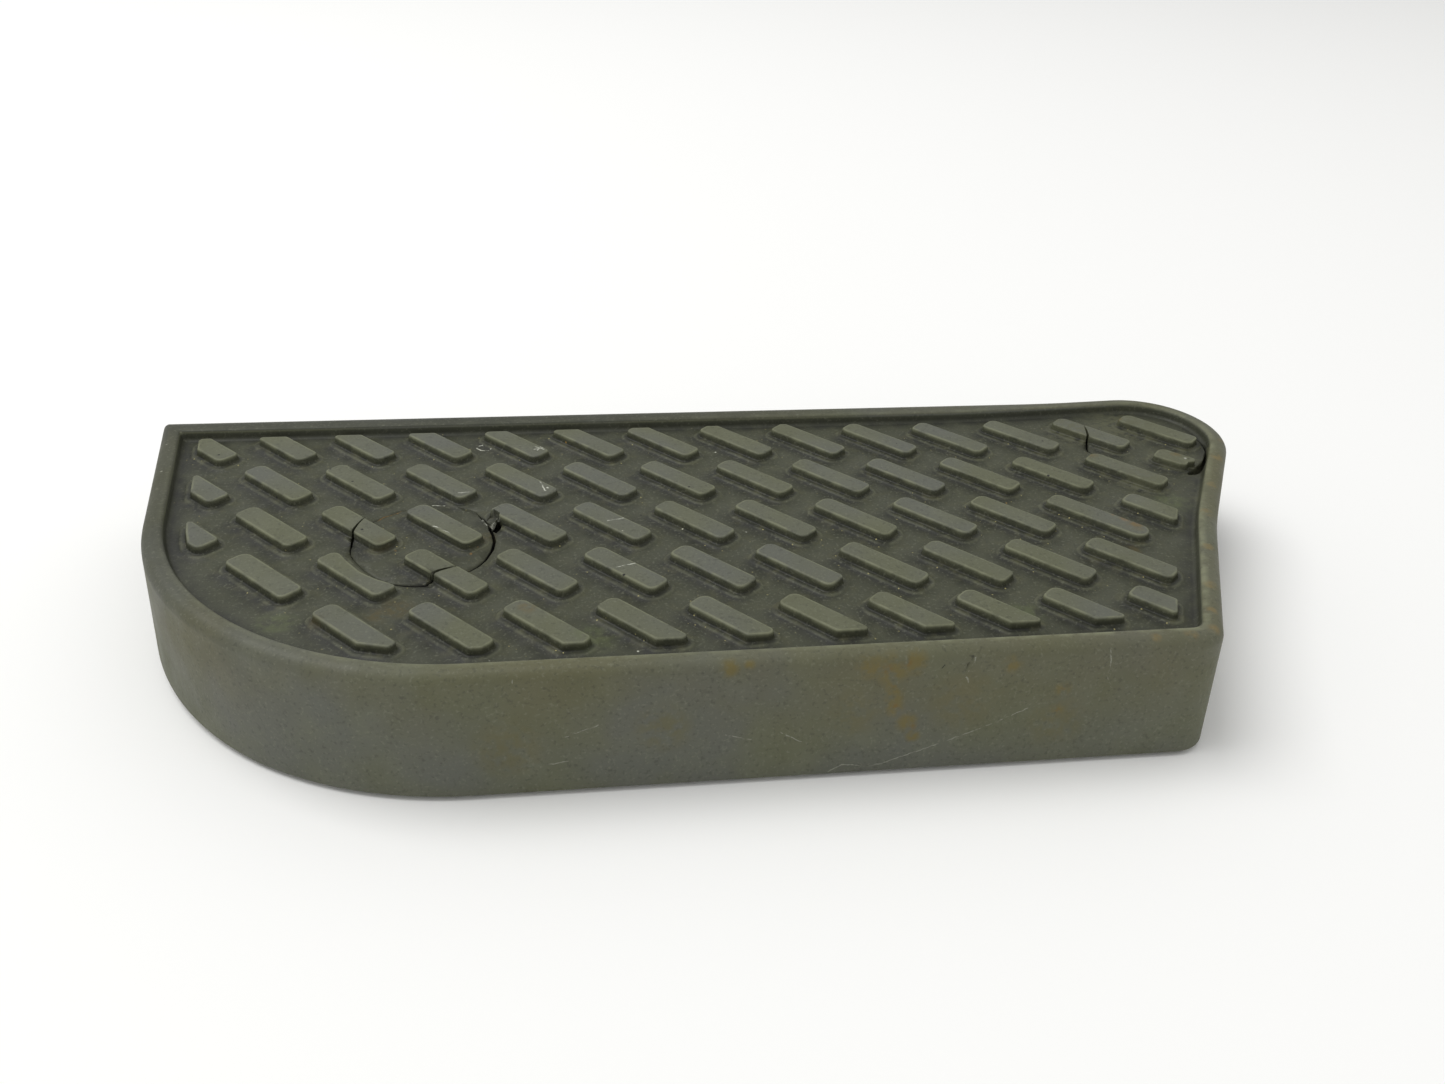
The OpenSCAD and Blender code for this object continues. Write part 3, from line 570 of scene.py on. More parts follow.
def buildShellBase():
    rings = shellRings()
    n = len(rings[0])
    points = [p for ring in rings for p in ring]
    faces = []
    for k in range(len(rings) - 1):
        faces += band(k * n, (k + 1) * n, n)
    cap = len(points)   # the hollow: up from the lip to a cap under the deck
    points += [(x, y, shell["capTop"]) for x, y, _ in rings[0]]
    faces += band(cap, 0, n)
    faces.append(tuple(range(cap + n - 1, cap - 1, -1)))

    # tread floor, with one face for each bar to rise from
    edge = np.array([p[:2] for p in rings[-1]])
    feet = footRows(edge)
    rng = random.Random(shell["seed"])
    step = shell["gridStep"]
    spread = step * shell["gridSpread"]
    grid = np.array([(x + rng.uniform(-spread, spread), y + rng.uniform(-spread, spread))
                     for x in np.arange(edge[:, 0].min(), edge[:, 0].max(), step)
                     for y in np.arange(edge[:, 1].min(), edge[:, 1].max(), step)])
    keep = insideLoop(grid, edge) & (distanceTo(grid, edge) > shell["gridToRim"])
    for foot in feet.values():
        keep &= ~insideLoop(grid, foot) & (distanceTo(grid, foot) > shell["gridToBar"])
    nudged = edge + np.array([(rng.uniform(-1, 1), rng.uniform(-1, 1)) for _ in edge]) * shell["nudge"]
    flat = [Vector(p) for p in nudged]   # so that no three of its points are in line
    lines = ringLines(0, n)
    footStart = {}
    for key, foot in feet.items():
        footStart[key] = len(flat)
        lines += ringLines(len(flat), len(foot))
        flat += [Vector(p[:2]) for p in foot]
    flat += [Vector(p) for p in grid[keep]]
    spots, _, triangles, origins, *_ = delaunay_2d_cdt(flat, lines, [], 0, 1e-5, True)
    centres = np.array([np.mean([spots[v] for v in t], axis=0) for t in triangles])
    wanted = insideLoop(centres, nudged)
    for foot in feet.values():
        wanted &= ~insideLoop(centres, foot)
    index = {source: v for v, sources in enumerate(origins) for source in sources}
    place = {index[i]: cap - n + i for i in range(n)}   # the last ring is the tread's edge

    def vertex(v):
        if v not in place:
            place[v] = len(points)
            points.append((spots[v][0], spots[v][1], shell["floor"]))
        return place[v]

    for k in np.nonzero(wanted)[0]:
        t = [vertex(v) for v in triangles[k]]
        a, b, c = (np.array(points[v][:2]) for v in t)
        faces.append(tuple(t) if cross(b - a, c - a) > 0 else tuple(reversed(t)))
    flags, outward = [False] * len(faces), {}
    for key, foot in feet.items():
        ring = [vertex(index[footStart[key] + i]) for i in range(len(foot))]
        outward.update(zip(ring, foot[:, 2:]))
        faces.append(tuple(ring))
        flags.append(True)
    obj = meshObject("tread_shell", points, faces)
    directions = np.zeros((len(points), 3), np.float32)
    for v, direction in outward.items():
        directions[v, :2] = direction
    attributes = obj.data.attributes
    attributes.new("outward", "FLOAT_VECTOR", "POINT").data.foreach_set("vector", directions.ravel())
    attributes.new("bar", "BOOLEAN", "FACE").data.foreach_set("value", flags)
    return obj


riseSizes = {"Pad Width": "padWidth", "Foot Radius": "footR", "Draft": "draft", "Edge Radius": "edgeR",
             "Pad Height": "padHeight", "Height": "height"}
riseRings = [   # a ring's way in from the foot, in shares of pad width, foot radius, draft and edge radius,
    # and its way up, in shares of pad height, height, foot radius and edge radius
    ((0.16, 0, 0, 0), (0.7, 0, 0, 0)),
    ((0.34, 0, 0, 0), (1, 0, 0, 0)),
    ((1, -1, 0, 0), (1.08, 0, 0, 0)),
    ((1, -0.5, 0, 0), (1, 0, 0.13, 0)),
    ((1, -0.13, 0, 0), (1, 0, 0.5, 0)),
    ((1, 0, 0, 0), (1, 0, 1, 0)),
    ((1, 0, 0.6, 0), (0, 0.55, 0, 0)),
    ((1, 0, 1, 0), (0, 1, 0, -1)),
    ((1, 0, 1, 0.1), (0, 1, 0, -0.56)),
    ((1, 0, 1, 0.35), (0, 1, 0, -0.24)),
    ((1, 0, 1, 0.65), (0, 1, 0, -0.06)),
    ((1, 0, 1, 1), (0, 1, 0, 0)),
    ((1, 0, 1, 1.6), (0, 1, 0, 0)),
]


def barRiseTree():
    # raises every marked face from the floor in rings: pad, foot fillet, drafted wall, rounded edge
    sizes = [(name, "Float") for name in riseSizes]
    tree, source = nodeGroup("raise_bars", [("Geometry", "Geometry"), *sizes, ("Material", "Material")])
    read = {}
    for name, kind in (("outward", "FLOAT_VECTOR"), ("start", "FLOAT_VECTOR"), ("bar", "BOOLEAN")):
        stored = addNode(tree, "GeometryNodeInputNamedAttribute", {"Name": name}, data_type=kind)
        read[name] = stored.outputs["Attribute"]
    position = addNode(tree, "GeometryNodeInputPosition")
    geometry = addNode(tree, "GeometryNodeStoreNamedAttribute",
                       {"Geometry": source["Geometry"], "Name": "start", "Value": position},
                       data_type="FLOAT_VECTOR", domain="POINT")
    selection = read["bar"]
    inwards = ("Pad Width", "Foot Radius", "Draft", "Edge Radius")
    upwards = ("Pad Height", "Height", "Foot Radius", "Edge Radius")
    for ring in riseRings:
        run = [0.0, 0.0]
        for k, names in enumerate((inwards, upwards)):
            for name, share in zip(names, ring[k]):
                if share:
                    run[k] = addNode(tree, "ShaderNodeMath", {0: source[name], 1: share, 2: run[k]},
                                     operation="MULTIPLY_ADD")
        faces = {"Mesh": geometry, "Selection": selection, "Offset Scale": 0.0, "Individual": False}
        extrude = addNode(tree, "GeometryNodeExtrudeMesh", faces, mode="FACES")
        selection = extrude.outputs["Top"]
        back = addNode(tree, "ShaderNodeMath", {0: run[0], 1: -1.0}, operation="MULTIPLY")
        step = addNode(tree, "ShaderNodeVectorMath", {0: read["outward"], "Scale": back}, operation="SCALE")
        up = addNode(tree, "ShaderNodeCombineXYZ", {"Z": run[1]})
        moved = addNode(tree, "ShaderNodeVectorMath", {0: read["start"], 1: step}, operation="ADD")
        placed = addNode(tree, "ShaderNodeVectorMath", {0: moved, 1: up}, operation="ADD")
        geometry = addNode(tree, "GeometryNodeSetPosition",
                           {"Geometry": extrude, "Selection": selection, "Position": placed})
    endTree(tree, geometry, source["Material"])
    return tree


damage = {   # mm: x, y and width along each break in the tread, and the corners of chips
    "gape": 1.6, "slotTop": 33.0, "slotBottom": 26.7, "slotTip": 1.0, "sliver": 0.003,
    "postRing": [
        (-66.5, 11.3, .05), (-63.8, 10.3, .12), (-62.2, 9.0, .2), (-60.5, 5.7, .35), (-58.8, 1.6, .5),
        (-57.7, -2.0, .5), (-57.3, -5.0, .5), (-57.7, -8.7, .55), (-59.1, -13.0, .5),
        (-60.7, -15.7, .5), (-62.6, -17.6, .5), (-65.8, -18.8, .5), (-67.6, -19.5, .6),
        (-69.0, -20.1, .7), (-70.2, -20.9, .8), (-71.2, -22.2, .8), (-72.2, -22.9, .75),
        (-74.1, -22.9, .7), (-76.3, -22.6, .72), (-78.4, -22.1, .6), (-81.0, -20.9, .36),
        (-83.4, -19.0, .2), (-85.6, -16.4, .18), (-87.6, -13.4, .16), (-89.2, -10.6, .16),
        (-90.1, -8.4, .16), (-90.3, -6.6, .2), (-90.2, -4.2, .34), (-90.2, -2.6, .46),
        (-89.9, -0.8, .42), (-89.3, 1.4, .3), (-88.4, 3.6, .22), (-87.2, 5.0, .12), (-85.7, 6.2, .07),
        (-83.6, 8.2, .06), (-80.6, 10.2, .06), (-78.6, 11.0, .04)],
    "earBar": [
        (108.5, 44.6, .05), (108.0, 42.8, .22), (107.6, 40.6, .34), (106.9, 37.6, .42),
        (105.9, 34.6, .42), (105.1, 32.4, .4), (105.0, 31.2, .3), (105.8, 29.9, .05)],
    "earRim": [   # at the rim's foot
        (139.9, 39.5, .06), (140.1, 36.0, .24), (139.8, 32.2, .4), (138.7, 28.6, .5), (137.0, 25.4, .6),
        (135.0, 22.5, .8), (133.0, 20.3, 1.15), (131.2, 18.3, 1.4), (129.4, 17.2, 1.2),
        (127.6, 16.6, .4)],
    "sunk": 0.2, "sunkHinge": 9.0, "sunkRun": 30.0,   # the disc inside the ring has dropped at the front
    "cuts": {   # each group is cut in one go: loops right through, and the corners of chips
        "holes": {
            "ring_hole": [(-57.7, 3.4), (-56.4, 3.7), (-55.4, 2.2), (-55.9, 0.4), (-57.0, -1.4),
                (-57.9, -0.4)],
            "gouge": [(42.9, -61.6, 30.6), (41.2, -61.8, 25.2), (42.75, -61.5, 27.8),
                (41.35, -61.5, 28.3), (42.05, -59.8, 28.0)],
        },
        "chips": {
            "ear_hole": [(129.0, 18.3), (131.2, 19.2), (133.0, 19.0), (131.4, 17.0), (129.4, 16.4)],
            "bar_corner": [(-58.6, 6.0, 33), (-58.6, 6.0, 28.9), (-56.3, 3.2, 28.9), (-56.3, 3.2, 33),
                (-57.4, 6.4, 33), (-56.0, 4.6, 33), (-57.6, 6.2, 28.9), (-56.2, 4.5, 28.9),
                (-59.5, 3.5, 33), (-59.5, 3.5, 28.9)],
        },
    },
    "flakes": {
        "ring_flake": [(-58.2, 1.0, 28.2), (-57.7, 0.8, 28.2), (-56.8, 3.8, 28.2), (-57.3, 4.1, 28.2),
            (-58.0, 1.5, 29.3), (-57.8, 1.4, 29.4), (-56.7, 3.6, 29.9), (-56.9, 3.8, 29.8)],
        "disc_lip": [(-60.7, 5.0, 28.3), (-59.9, 1.4, 28.3), (-58.8, -0.4, 28.3), (-58.6, 0.2, 28.3),
            (-59.2, 2.2, 28.3), (-60.2, 5.2, 28.3), (-60.5, 4.7, 29.0), (-59.7, 1.9, 29.3),
            (-58.9, 0.4, 29.2), (-59.1, 1.6, 29.25), (-60.2, 4.7, 29.0)],
    },
}


def crackCutter(name, path):
    # narrow slot along the path that closes to a point below
    top, bottom = damage["slotTop"], damage["slotBottom"]
    shoulder = bottom + damage["slotTip"]
    rings = []
    for k, (x, y, width) in enumerate(path):
        a, b = path[max(k - 1, 0)], path[min(k + 1, len(path) - 1)]
        dx, dy = leftOf(unit(np.array([b[0] - a[0], b[1] - a[1]]))) * width * damage["gape"] / 2
        rings.append([(x + dx, y + dy, top), (x + dx, y + dy, shoulder), (x, y, bottom),
                      (x - dx, y - dy, shoulder), (x - dx, y - dy, top)])
    return ringSolid(name, rings)


def prism(name, loop, bottom, top):
    # straight solid over a closed loop of x and y
    return ringSolid(name, [[(p[0], p[1], z) for p in loop] for z in (bottom, top)])


def archCutter():
    # the way out under the skirt's back edge, over the cord's gland
    low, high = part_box("cord_gland")
    x0, r, depth = (low.x + high.x) / 2 / mm, shell["archR"], shell["archDepth"]
    back = tread["depth"] - middle[1]
    loop = [(x0 - r, -1), (x0 + r, -1)]
    loop += [(x0 + r * math.cos(a), shell["archTop"] - r + r * math.sin(a)) for a in angles(12, 180)]
    return ringSolid("arch", [[(x, y, z) for x, z in loop] for y in (back - depth, back + depth)])


def shellCore():
    # the underside's ribs, posts, lugs and hooks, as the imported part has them
    mesh = frame["nodes"]["treadle_shell"].data.copy()
    edited(mesh, lambda shape: bmesh.ops.remove_doubles(shape, verts=shape.verts, dist=shell["weld"] * mm))
    mesh.materials.clear()
    limit = prism("core_limit", outline(shell["coreInset"]), -1, shell["coreTop"])
    return boolean(linkObject("shell_core", mesh), limit, "INTERSECT")


def pointsOf(mesh):
    co = np.empty(len(mesh.vertices) * 3, np.float32)
    mesh.vertices.foreach_get("co", co)
    return co.reshape(-1, 3).astype(float) / mm


def closeSlivers(shape):
    # what the cuts left behind
    gap = damage["sliver"] * mm
    bmesh.ops.remove_doubles(shape, verts=shape.verts, dist=gap)
    bmesh.ops.dissolve_degenerate(shape, edges=shape.edges, dist=gap / 2)


def sinkDisc(obj):
    # the loose disc inside the ring crack has tipped down at the front
    co = pointsOf(obj.data)
    ring = np.array(damage["postRing"])
    inside = insideLoop(co[:, :2], ring) & (co[:, 2] > damage["slotBottom"] + damage["slotTip"] + 0.05)
    drop = np.clip((damage["sunkHinge"] - co[:, 1]) / damage["sunkRun"], 0, 1) * damage["sunk"]
    co[inside, 2] -= drop[inside]
    obj.data.vertices.foreach_set("co", (co * mm).astype(np.float32).ravel())
    obj.data.update()


wearAndShade = {   # mm; a "top" is a height over the tread's floor, and the run below it in which a mark fades in
    "near": 8.0, "treadDepth": 2.2,                                 # reach round a bar, and below the floor
    "footStart": 1.0, "footRun": 2.0, "footTop": (1.3, 1.0),        # dust round the bars, and dirt with painted shade on their low steps
    "lee": (2.2, 2.05), "leeStart": -0.6, "leeRun": 3.2, "leeTop": (1.0, 0.4),   # painted shadow on the floor at their front-left sides
    "rimFootShadeRun": 1.6, "rimFootShadeTop": (2.2, 1.2),                          # painted shade along the rim's foot
    "barEdge": 0.46, "barEdgeDepth": 0.5, "padEdge": 0.3, "padEdgeShare": 0.4,   # rubbed edges, with painted highlights
    "rimInset": 0.7, "rimEdge": 0.5, "rimEdgeDepth": 0.35,
    "slope": (100, -50),   # x and y that count as one, from the back left to the front right
    # rubbed rim edges with painted highlights, strongest at the front right, and painted shade on the rim,
    # strongest at the back left
    "rubbedAndLit": ((-1.3, 1.2, 1.8), (0.15, 0.95, 1.4)), "greyed": ((-1.3, 0.1), (1, 0)),
    "greyedDepth": 2.5, "backStart": 50.0, "backShare": 1.35,
}


def markSurfaces(obj):
    # paints the values that the finish reads
    w, floor, rim = wearAndShade, shell["floor"], shell["rimWidth"]
    co = pointsOf(obj.data)
    flat, z = co[:, :2], co[:, 2]
    onTread = insideLoop(flat, outline(rim - 0.1)) & (z > floor - w["treadDepth"])
    toBar, behind = np.full(len(co), 99.0), np.full(len(co), 99.0)
    for rows in barShapes.values():
        low, high = rows[:, :2].min(0) - w["near"], rows[:, :2].max(0) + w["near"]
        near = onTread & (flat > low).all(1) & (flat < high).all(1)
        for gaps, spots in ((toBar, flat[near]), (behind, flat[near] + w["lee"])):
            gap = distanceTo(spots, rows)
            gap[insideLoop(spots, rows)] *= -1
            gaps[near] = np.minimum(gaps[near], gap)
    toInner = distanceTo(flat, outline(rim - w["rimInset"]))
    toRim = distanceTo(flat, outline(rim + shell["innerDraft"] + shell["filletR"]))
    outward = np.empty(len(co) * 3, np.float32)
    obj.data.attributes["outward"].data.foreach_get("vector", outward)
    slope = flat @ (1 / np.array(w["slope"]))

    def under(top, run):
        return np.clip((floor + top - z) / run, 0, 1) * onTread

    edge = 1.0 * ((np.abs(toBar) < w["barEdge"]) & (z > barTop - w["barEdgeDepth"]) & onTread)
    # rubbed inner rim edge with a painted highlight, strongest at the front right
    edge += np.interp(slope, *w["rubbedAndLit"]) * ((np.abs(toInner) < w["rimEdge"])
                                              & (z > shell["top"] - w["rimEdgeDepth"]))
    # painted highlight along each pad's outer edge
    edge += w["padEdgeShare"] * ((np.abs(toBar - bars["padWidth"]) < w["padEdge"])
                                 & (z > floor + 0.5 * bars["padHeight"]) & onTread)
    # painted shade on the rim, darker towards the back left
    greyed = np.interp(slope, *w["greyed"]) * np.where(flat[:, 1] > w["backStart"], w["backShare"], 1.0)
    painted = {
        "tread": onTread,
        "foot": np.exp(-np.maximum(toBar - w["footStart"], 0) / w["footRun"]) * under(*w["footTop"]),
        # painted shade in the corner at each pad's foot
        "crease": (np.hypot(outward[0::3], outward[1::3]) > 0.05) & (z < floor + 0.03),
        "edge": edge,
        # painted shade in the corner along the rim's foot
        "rimFootShade": np.exp(-toRim / w["rimFootShadeRun"]) * under(*w["rimFootShadeTop"]),
        "backRimShade": greyed * (z > shell["top"] - w["greyedDepth"]) * (1 - onTread),
        # painted shadow of each bar, cast towards its front-left side
        "shade": np.clip(1 - (behind - w["leeStart"]) / w["leeRun"], 0, 1) * under(*w["leeTop"]),
    }
    for name, values in painted.items():
        attribute = obj.data.attributes.new(name, "FLOAT", "POINT")
        attribute.data.foreach_set("value", np.asarray(values, np.float32))


def makeShell(material):
    values = {name: bars[size] * mm for name, size in riseSizes.items()}
    obj = grown(buildShellBase(), barRiseTree(), {**values, "Material": material})
    print("bars raised:", len(obj.data.vertices), "points")
    obj = boolean(obj, shellCore(), "UNION")
    print("underside joined:", len(obj.data.vertices), "points")
    slots = [crackCutter(name, damage[name]) for name in ("postRing", "earBar", "earRim")]
    obj = boolean(obj, joined("slots", slots + [archCutter()]), "DIFFERENCE")
    bottom, top = damage["slotBottom"] + 0.1, shell["top"] + 1
    for name, cuts in damage["cuts"].items():
        parts = [hullObject(*cut) if len(cut[1][0]) == 3 else prism(*cut, bottom, top)
                 for cut in cuts.items()]
        obj = boolean(obj, joined(name, parts), "DIFFERENCE")
    print("cracks and chips cut:", len(obj.data.vertices), "points")
    sinkDisc(obj)
    flakes = [hullObject(*flake) for flake in damage["flakes"].items()]
    obj = boolean(obj, joined("flakes", flakes), "UNION")
    mesh = obj.data
    edited(mesh, closeSlivers)
    mesh.materials.clear()
    mesh.materials.append(material)
    mesh.polygons.foreach_set("material_index", np.zeros(len(mesh.polygons), np.int32))
    finishEdges(mesh, shell["sharpAngle"])
    markSurfaces(obj)
    for name in ("outward", "start", "bar"):
        mesh.attributes.remove(mesh.attributes[name])
    return obj


plastic = {   # faded olive rigid PVC, injection moulded: a dull grained skin, dirt and painted shade in its corners; mm
    # the near-black is painted shade inside the cracks
    "name": "olive_pvc_moulded", "grey": "#585a50", "crackShade": "#0e0e0b", "crackShadeShare": 0.92,
    "grain": 0.6, "grainDepth": 0.035,      # drawn coarser than its real 0.1
    "wave": 16.0, "waveDepth": 0.25, "specular": 0.38,
    "roughness": (9.5, 0.3, 0.7, 3.0, 0.5, 0.66), "markPatches": (2.4, 0.36, 0.56, 7.0),   # as in the layers
    "raggedSize": 1.3, "ragged": 0.7,       # how far the marks' edges wander
}

layers = [   # colour, masks, and the strength or the patches: size in mm, noise from and to, detail,
    # strength from and to
    ("#595b45", [], (38.0, 0.4, 0.6)),   # greener cast of the grey
    ("#656753", [], (9.0, 0.45, 0.75, 5.0, 0.0, 0.45)),   # sun-bleached blotches
    ("#3d3f2f", ["tread", "low"], (15.0, 0.3, 0.7, 3.0, 0.82, 1.0)),   # dirt and painted shade on the tread's floor and the bars' lower sides
    ("#17190f", ["shade"], 0.95),   # painted shadow round the bars' feet on their front-left sides
    ("#24261b", ["pad"], 0.5),   # dirt and painted shade on the low steps round the bars
    ("#5c5636", ["wall", "upper"], (30.0, 0.3, 0.6, 3.0, 0.0, 0.4)),   # yellowed upper half of the walls
    ("#34362b", ["backRimShade"], 0.66),   # painted shade on the rim, darker at the back and the left
    ("#7d7f6c", [], (0.72, 0.56, 0.72, 3.0, 0.0, 0.3)),   # light grains of the skin
    ("#23241d", [], (0.9, 0.44, 0.3, 3.0, 0.0, 0.3)),   # dark grains of the skin
    ("#20211c", ["crease"], (3.2, 0.3, 0.55, 3.0, 0.0, 0.6)),   # painted shade in the corners at the pads' feet
    ("#5a593c", ["foot"], (3.2, 0.48, 0.7, 6.0, 0.0, 0.5)),   # dust settled round the bars' feet
    ("#20211c", ["rimFootShade"], (5.0, 0.2, 0.6, 3.0, 0.0, 0.85)),   # painted shade along the rim's foot
    ("#787a60", ["edge"], (4.0, 0.35, 0.6, 3.0, 0.0, 0.6)),   # rubbed edges of the bars and the rim, with painted highlights on them and on the pads' outer edges
]

specks = [   # colour, where, cell size in mm, radius in mm, share of the cells that hold one, seed
    ("#15160f", "tread", 6.0, 0.34, 0.30, 1.0),
    ("#a8a893", "tread", 7.5, 0.24, 0.22, 2.0),
    ("#8a6f3c", "tread", 8.0, 0.30, 0.16, 3.0),
    ("#a59c68", "foot", 1.9, 0.20, 0.32, 4.0),
]


def frontAt(z):
    # y of the front wall at a height
    return -62.0 + 0.057 * z


def onFront(*spots):
    # marks on the front wall, from x and z to x, y and z
    return [tuple(c for k in range(0, len(s) - 1, 2) for c in (s[k], frontAt(s[k + 1]), s[k + 1])) + s[-1:]
            for s in spots]


def onLevel(z, *spots):
    # marks on one level, from x and y to x, y and z
    return [tuple(c for k in range(0, len(s) - 1, 2) for c in (s[k], s[k + 1], z)) + s[-1:] for s in spots]


topZ, floorZ, rimZ = barTop, shell["floor"], shell["top"]
marks = [   # colour, strength, then spots (place, radius) and lines (place, place, width) in mm
    ("#5f5a3a", 0.55, onFront((42, 19, 11), (64, 12, 9), (18.5, 17, 8), (-54, 13, 10), (-22, 16, 8))),
    ("#575f3c", 0.5, onLevel(floorZ, (-102.3, -35, 6), (116, 2, 7), (60, -44, 6), (-36, -46, 7))),
    ("#4d4527", 0.7, onLevel(floorZ, (-77.5, -31.5, 5), (-81.4, -33.9, 4), (-59, -3, 3), (-83, -6, 3.4),
        (-93, -36, 3.5), (96, -20, 3), (79, -31, 2.6))),
    ("#55563f", 0.7, onLevel(floorZ, (121, 46, 15), (128, 24, 11), (104, 42, 11), (112, 12, 9),
        (127, 2, 8))),
    ("#7a5c30", 0.6, onLevel(topZ, (98.5, -8.8, 2.2), (99.9, -11.4, 1.8), (96.4, -6.2, 1.4))),
    ("#62542f", 0.6, onLevel(topZ, (99.8, -12.3, 3.4), (103.2, 25.6, 2.6), (-49.5, -36.5, 3.0),
        (120, 47, 1.6), (127, 24.4, 2.2))),
    ("#79683f", 0.6, onLevel(rimZ, (100.9, -50, 1.8), (105.5, -40, 2.4), (112.8, -24, 2.2),
        (120.2, -8, 2.6), (128.6, 6, 2.2), (137.6, 21, 2.6), (143.9, 31, 1.8), (98, -56.8, 2.4),
        (92, -58.4, 2.2), (84, -58.6, 1.6))),
    ("#665c33", 0.9, onFront((25.9, 27.3, 5.4), (21.0, 28.6, 4.2), (30.4, 29.0, 4.2),
        (26.2, 26, 27.2, 17.5, 2.8), (30.2, 14.0, 3.4), (31.9, 10.2, 2.4), (64.2, 20.6, 2.6),
        (63.8, 14.9, 2.0), (-8.6, 29.9, 3.0), (-4.4, 30.8, 1.8), (52, 27.5, 3.0))),
    ("#6b5426", 0.75, onFront((24.6, 28.0, 1.7), (28.9, 29.2, 1.3), (31.7, 12.7, 1.1), (64.2, 20.6, 0.9),
        (63.8, 14.9, 0.8), (26.6, 24.0, 1.2), (27.2, 18.4, 0.9))),
    ("#8f6c35", 0.85, onLevel(floorZ, (-80, -7.6, .5), (-82.2, -5.8, .5), (-59.6, -5.9, .5),
        (-62.7, -10.3, .5), (-61.2, -7.6, .4), (-85.7, 6.2, -84.1, 7.9, .22),
        (-84.1, 7.9, -81.2, 9.6, .22), (-81.2, 9.6, -79.5, 11.1, .2))),
    ("#181913", 0.9, onLevel(floorZ, (-137.5, 26.7, .55), (-108.5, -5, .6), (-103.1, 19.4, .55),
        (-14.1, -51.5, .55), (-53.3, 36.2, .6), (86.6, 20.6, .5), (88.2, 18.2, .45))),
    ("#23241c", 0.9, onFront((41.3, 26.2, 42.9, 29.8, .5), (36.4, 27.4, 36.9, 28.2, .25))),
    ("#2a2b25", 0.8, onLevel(rimZ, (-76.5, -61.6, .8), (-91.3, -57.2, .9), (-61.2, -59.3, .6))),
    # painted shade, near-black along the crack at the ear's rim foot
    ("#0f100b", 0.9, onLevel(floorZ, (139.8, 32.0, 138.4, 28.2, .6), (138.4, 28.2, 134.8, 22.4, .7),
        (134.8, 22.4, 131.0, 18.6, .9), (131.0, 18.6, 128.2, 17.2, .7))),
    ("#c6c7b9", 0.95, [(-57.9, 1.2, 28.9, -56.8, 3.7, 29.7, 1.1),
        (-60.3, 4.9, 29.0, -59.2, 1.8, 29.2, .45)]),
    ("#c4c5b8", 0.9, onLevel(topZ, (-47.7, 37.4, -45, 38.6, .3), (-46.9, 36.9, -45.7, 39.2, .25),
        (-47.4, 38.9, -45.2, 37.3, .22), (-46.4, 19.6, -45, 14.7, .24), (-30.3, -1, -26.4, -.2, .26),
        (-29.4, -21.9, -24.7, -20.4, .22), (-66.8, 14.9, -63.7, 15.3, .3), (-73.1, .3, -69.4, -2.1, .22),
        (-69.4, -2.4, -67.2, -4.6, .22), (-65.4, 39.8, .7), (-44.4, 16.2, .5), (128.6, 21.6, .6),
        (131.2, 21.6, .5))),
    ("#c0c1b2", 0.9, onLevel(floorZ, (-63.1, 43.4, -61.9, 42.0, .3), (-61.9, 42.0, -60.0, 41.9, .3),
        (-59.4, 42.6, -58.2, 44.5, .35), (-62.6, 44.6, -60.8, 45.2, .25), (-141.9, 51.5, .5),
        (-140.6, 47, .5), (-139.1, 53.2, .5), (-72.9, 13.1, -69.8, 12.7, .2), (-26.6, -51.2, .35),
        (-57.3, -51.9, .35), (.9, 37.2, .35), (3.1, -4.9, .35))),
    ("#9b9c8c", 0.75, onLevel(rimZ, (-64.8, -59, -63, -61.1, .2), (-110.3, -55.6, -108.5, -58, .35),
        (-16, -61.5, -14.7, -60.5, .2), (-134.3, -10, .4), (-140.3, 30, .45), (-139.2, 21, .35),
        (-142.6, 45, .4))),
    ("#8d8e80", 0.7, onFront((14, 1.8, 16.6, 3.5, .22), (16.6, 3.5, 22.8, 2.6, .2),
        (22.8, 2.6, 25.8, 3.2, .2), (25.8, 3.2, 41.2, 8.8, .22), (41.2, 8.8, 49.4, 12.2, .2),
        (49.4, 12.2, 56.9, 15.8, .18), (42.2, 25.9, 43.5, 29.6, .22), (42.0, 24.8, 42.7, 23.6, .3),
        (73.3, 29.7, 74, 25.4, .22), (74, 25.4, 73.6, 23.3, .2), (73.6, 23.3, 74.9, 20.4, .2),
        (-42.5, 15.1, -35.4, 17.8, .2), (-47, 8.3, -42, 8.8, .18), (-9, 13.3, -3.5, 11.7, .2),
        (2.8, 13.1, 7.4, 10.3, .2), (-52.3, 30.2, -52.4, 29, .2), (1.9, 21.3, .45))),
]


def markMask(tree, point, mark):
    # 1 at a spot or along a line, fading out over its radius or width
    a, size = Vector(mark[:3]) * mm, mark[-1] * mm
    near, foot = point, a
    if len(mark) > 4:
        along = Vector(mark[3:6]) * mm - a
        near = addNode(tree, "ShaderNodeVectorMath", {0: point, 1: a}, operation="SUBTRACT")
        share = addNode(tree, "ShaderNodeVectorMath", {0: near, 1: along / along.length_squared},
                        operation="DOT_PRODUCT").outputs["Value"]
        begun = addNode(tree, "ShaderNodeMath", {0: share, 1: 0.0}, operation="MAXIMUM")
        held = addNode(tree, "ShaderNodeMath", {0: begun, 1: 1.0}, operation="MINIMUM")
        foot = addNode(tree, "ShaderNodeVectorMath", {0: along, "Scale": held}, operation="SCALE")
    gap = addNode(tree, "ShaderNodeVectorMath", {0: near, 1: foot}, operation="DISTANCE").outputs["Value"]
    return addNode(tree, "ShaderNodeMapRange", {"Value": gap, "From Min": size, "From Max": 0.25 * size},
                   interpolation_type="SMOOTHSTEP")


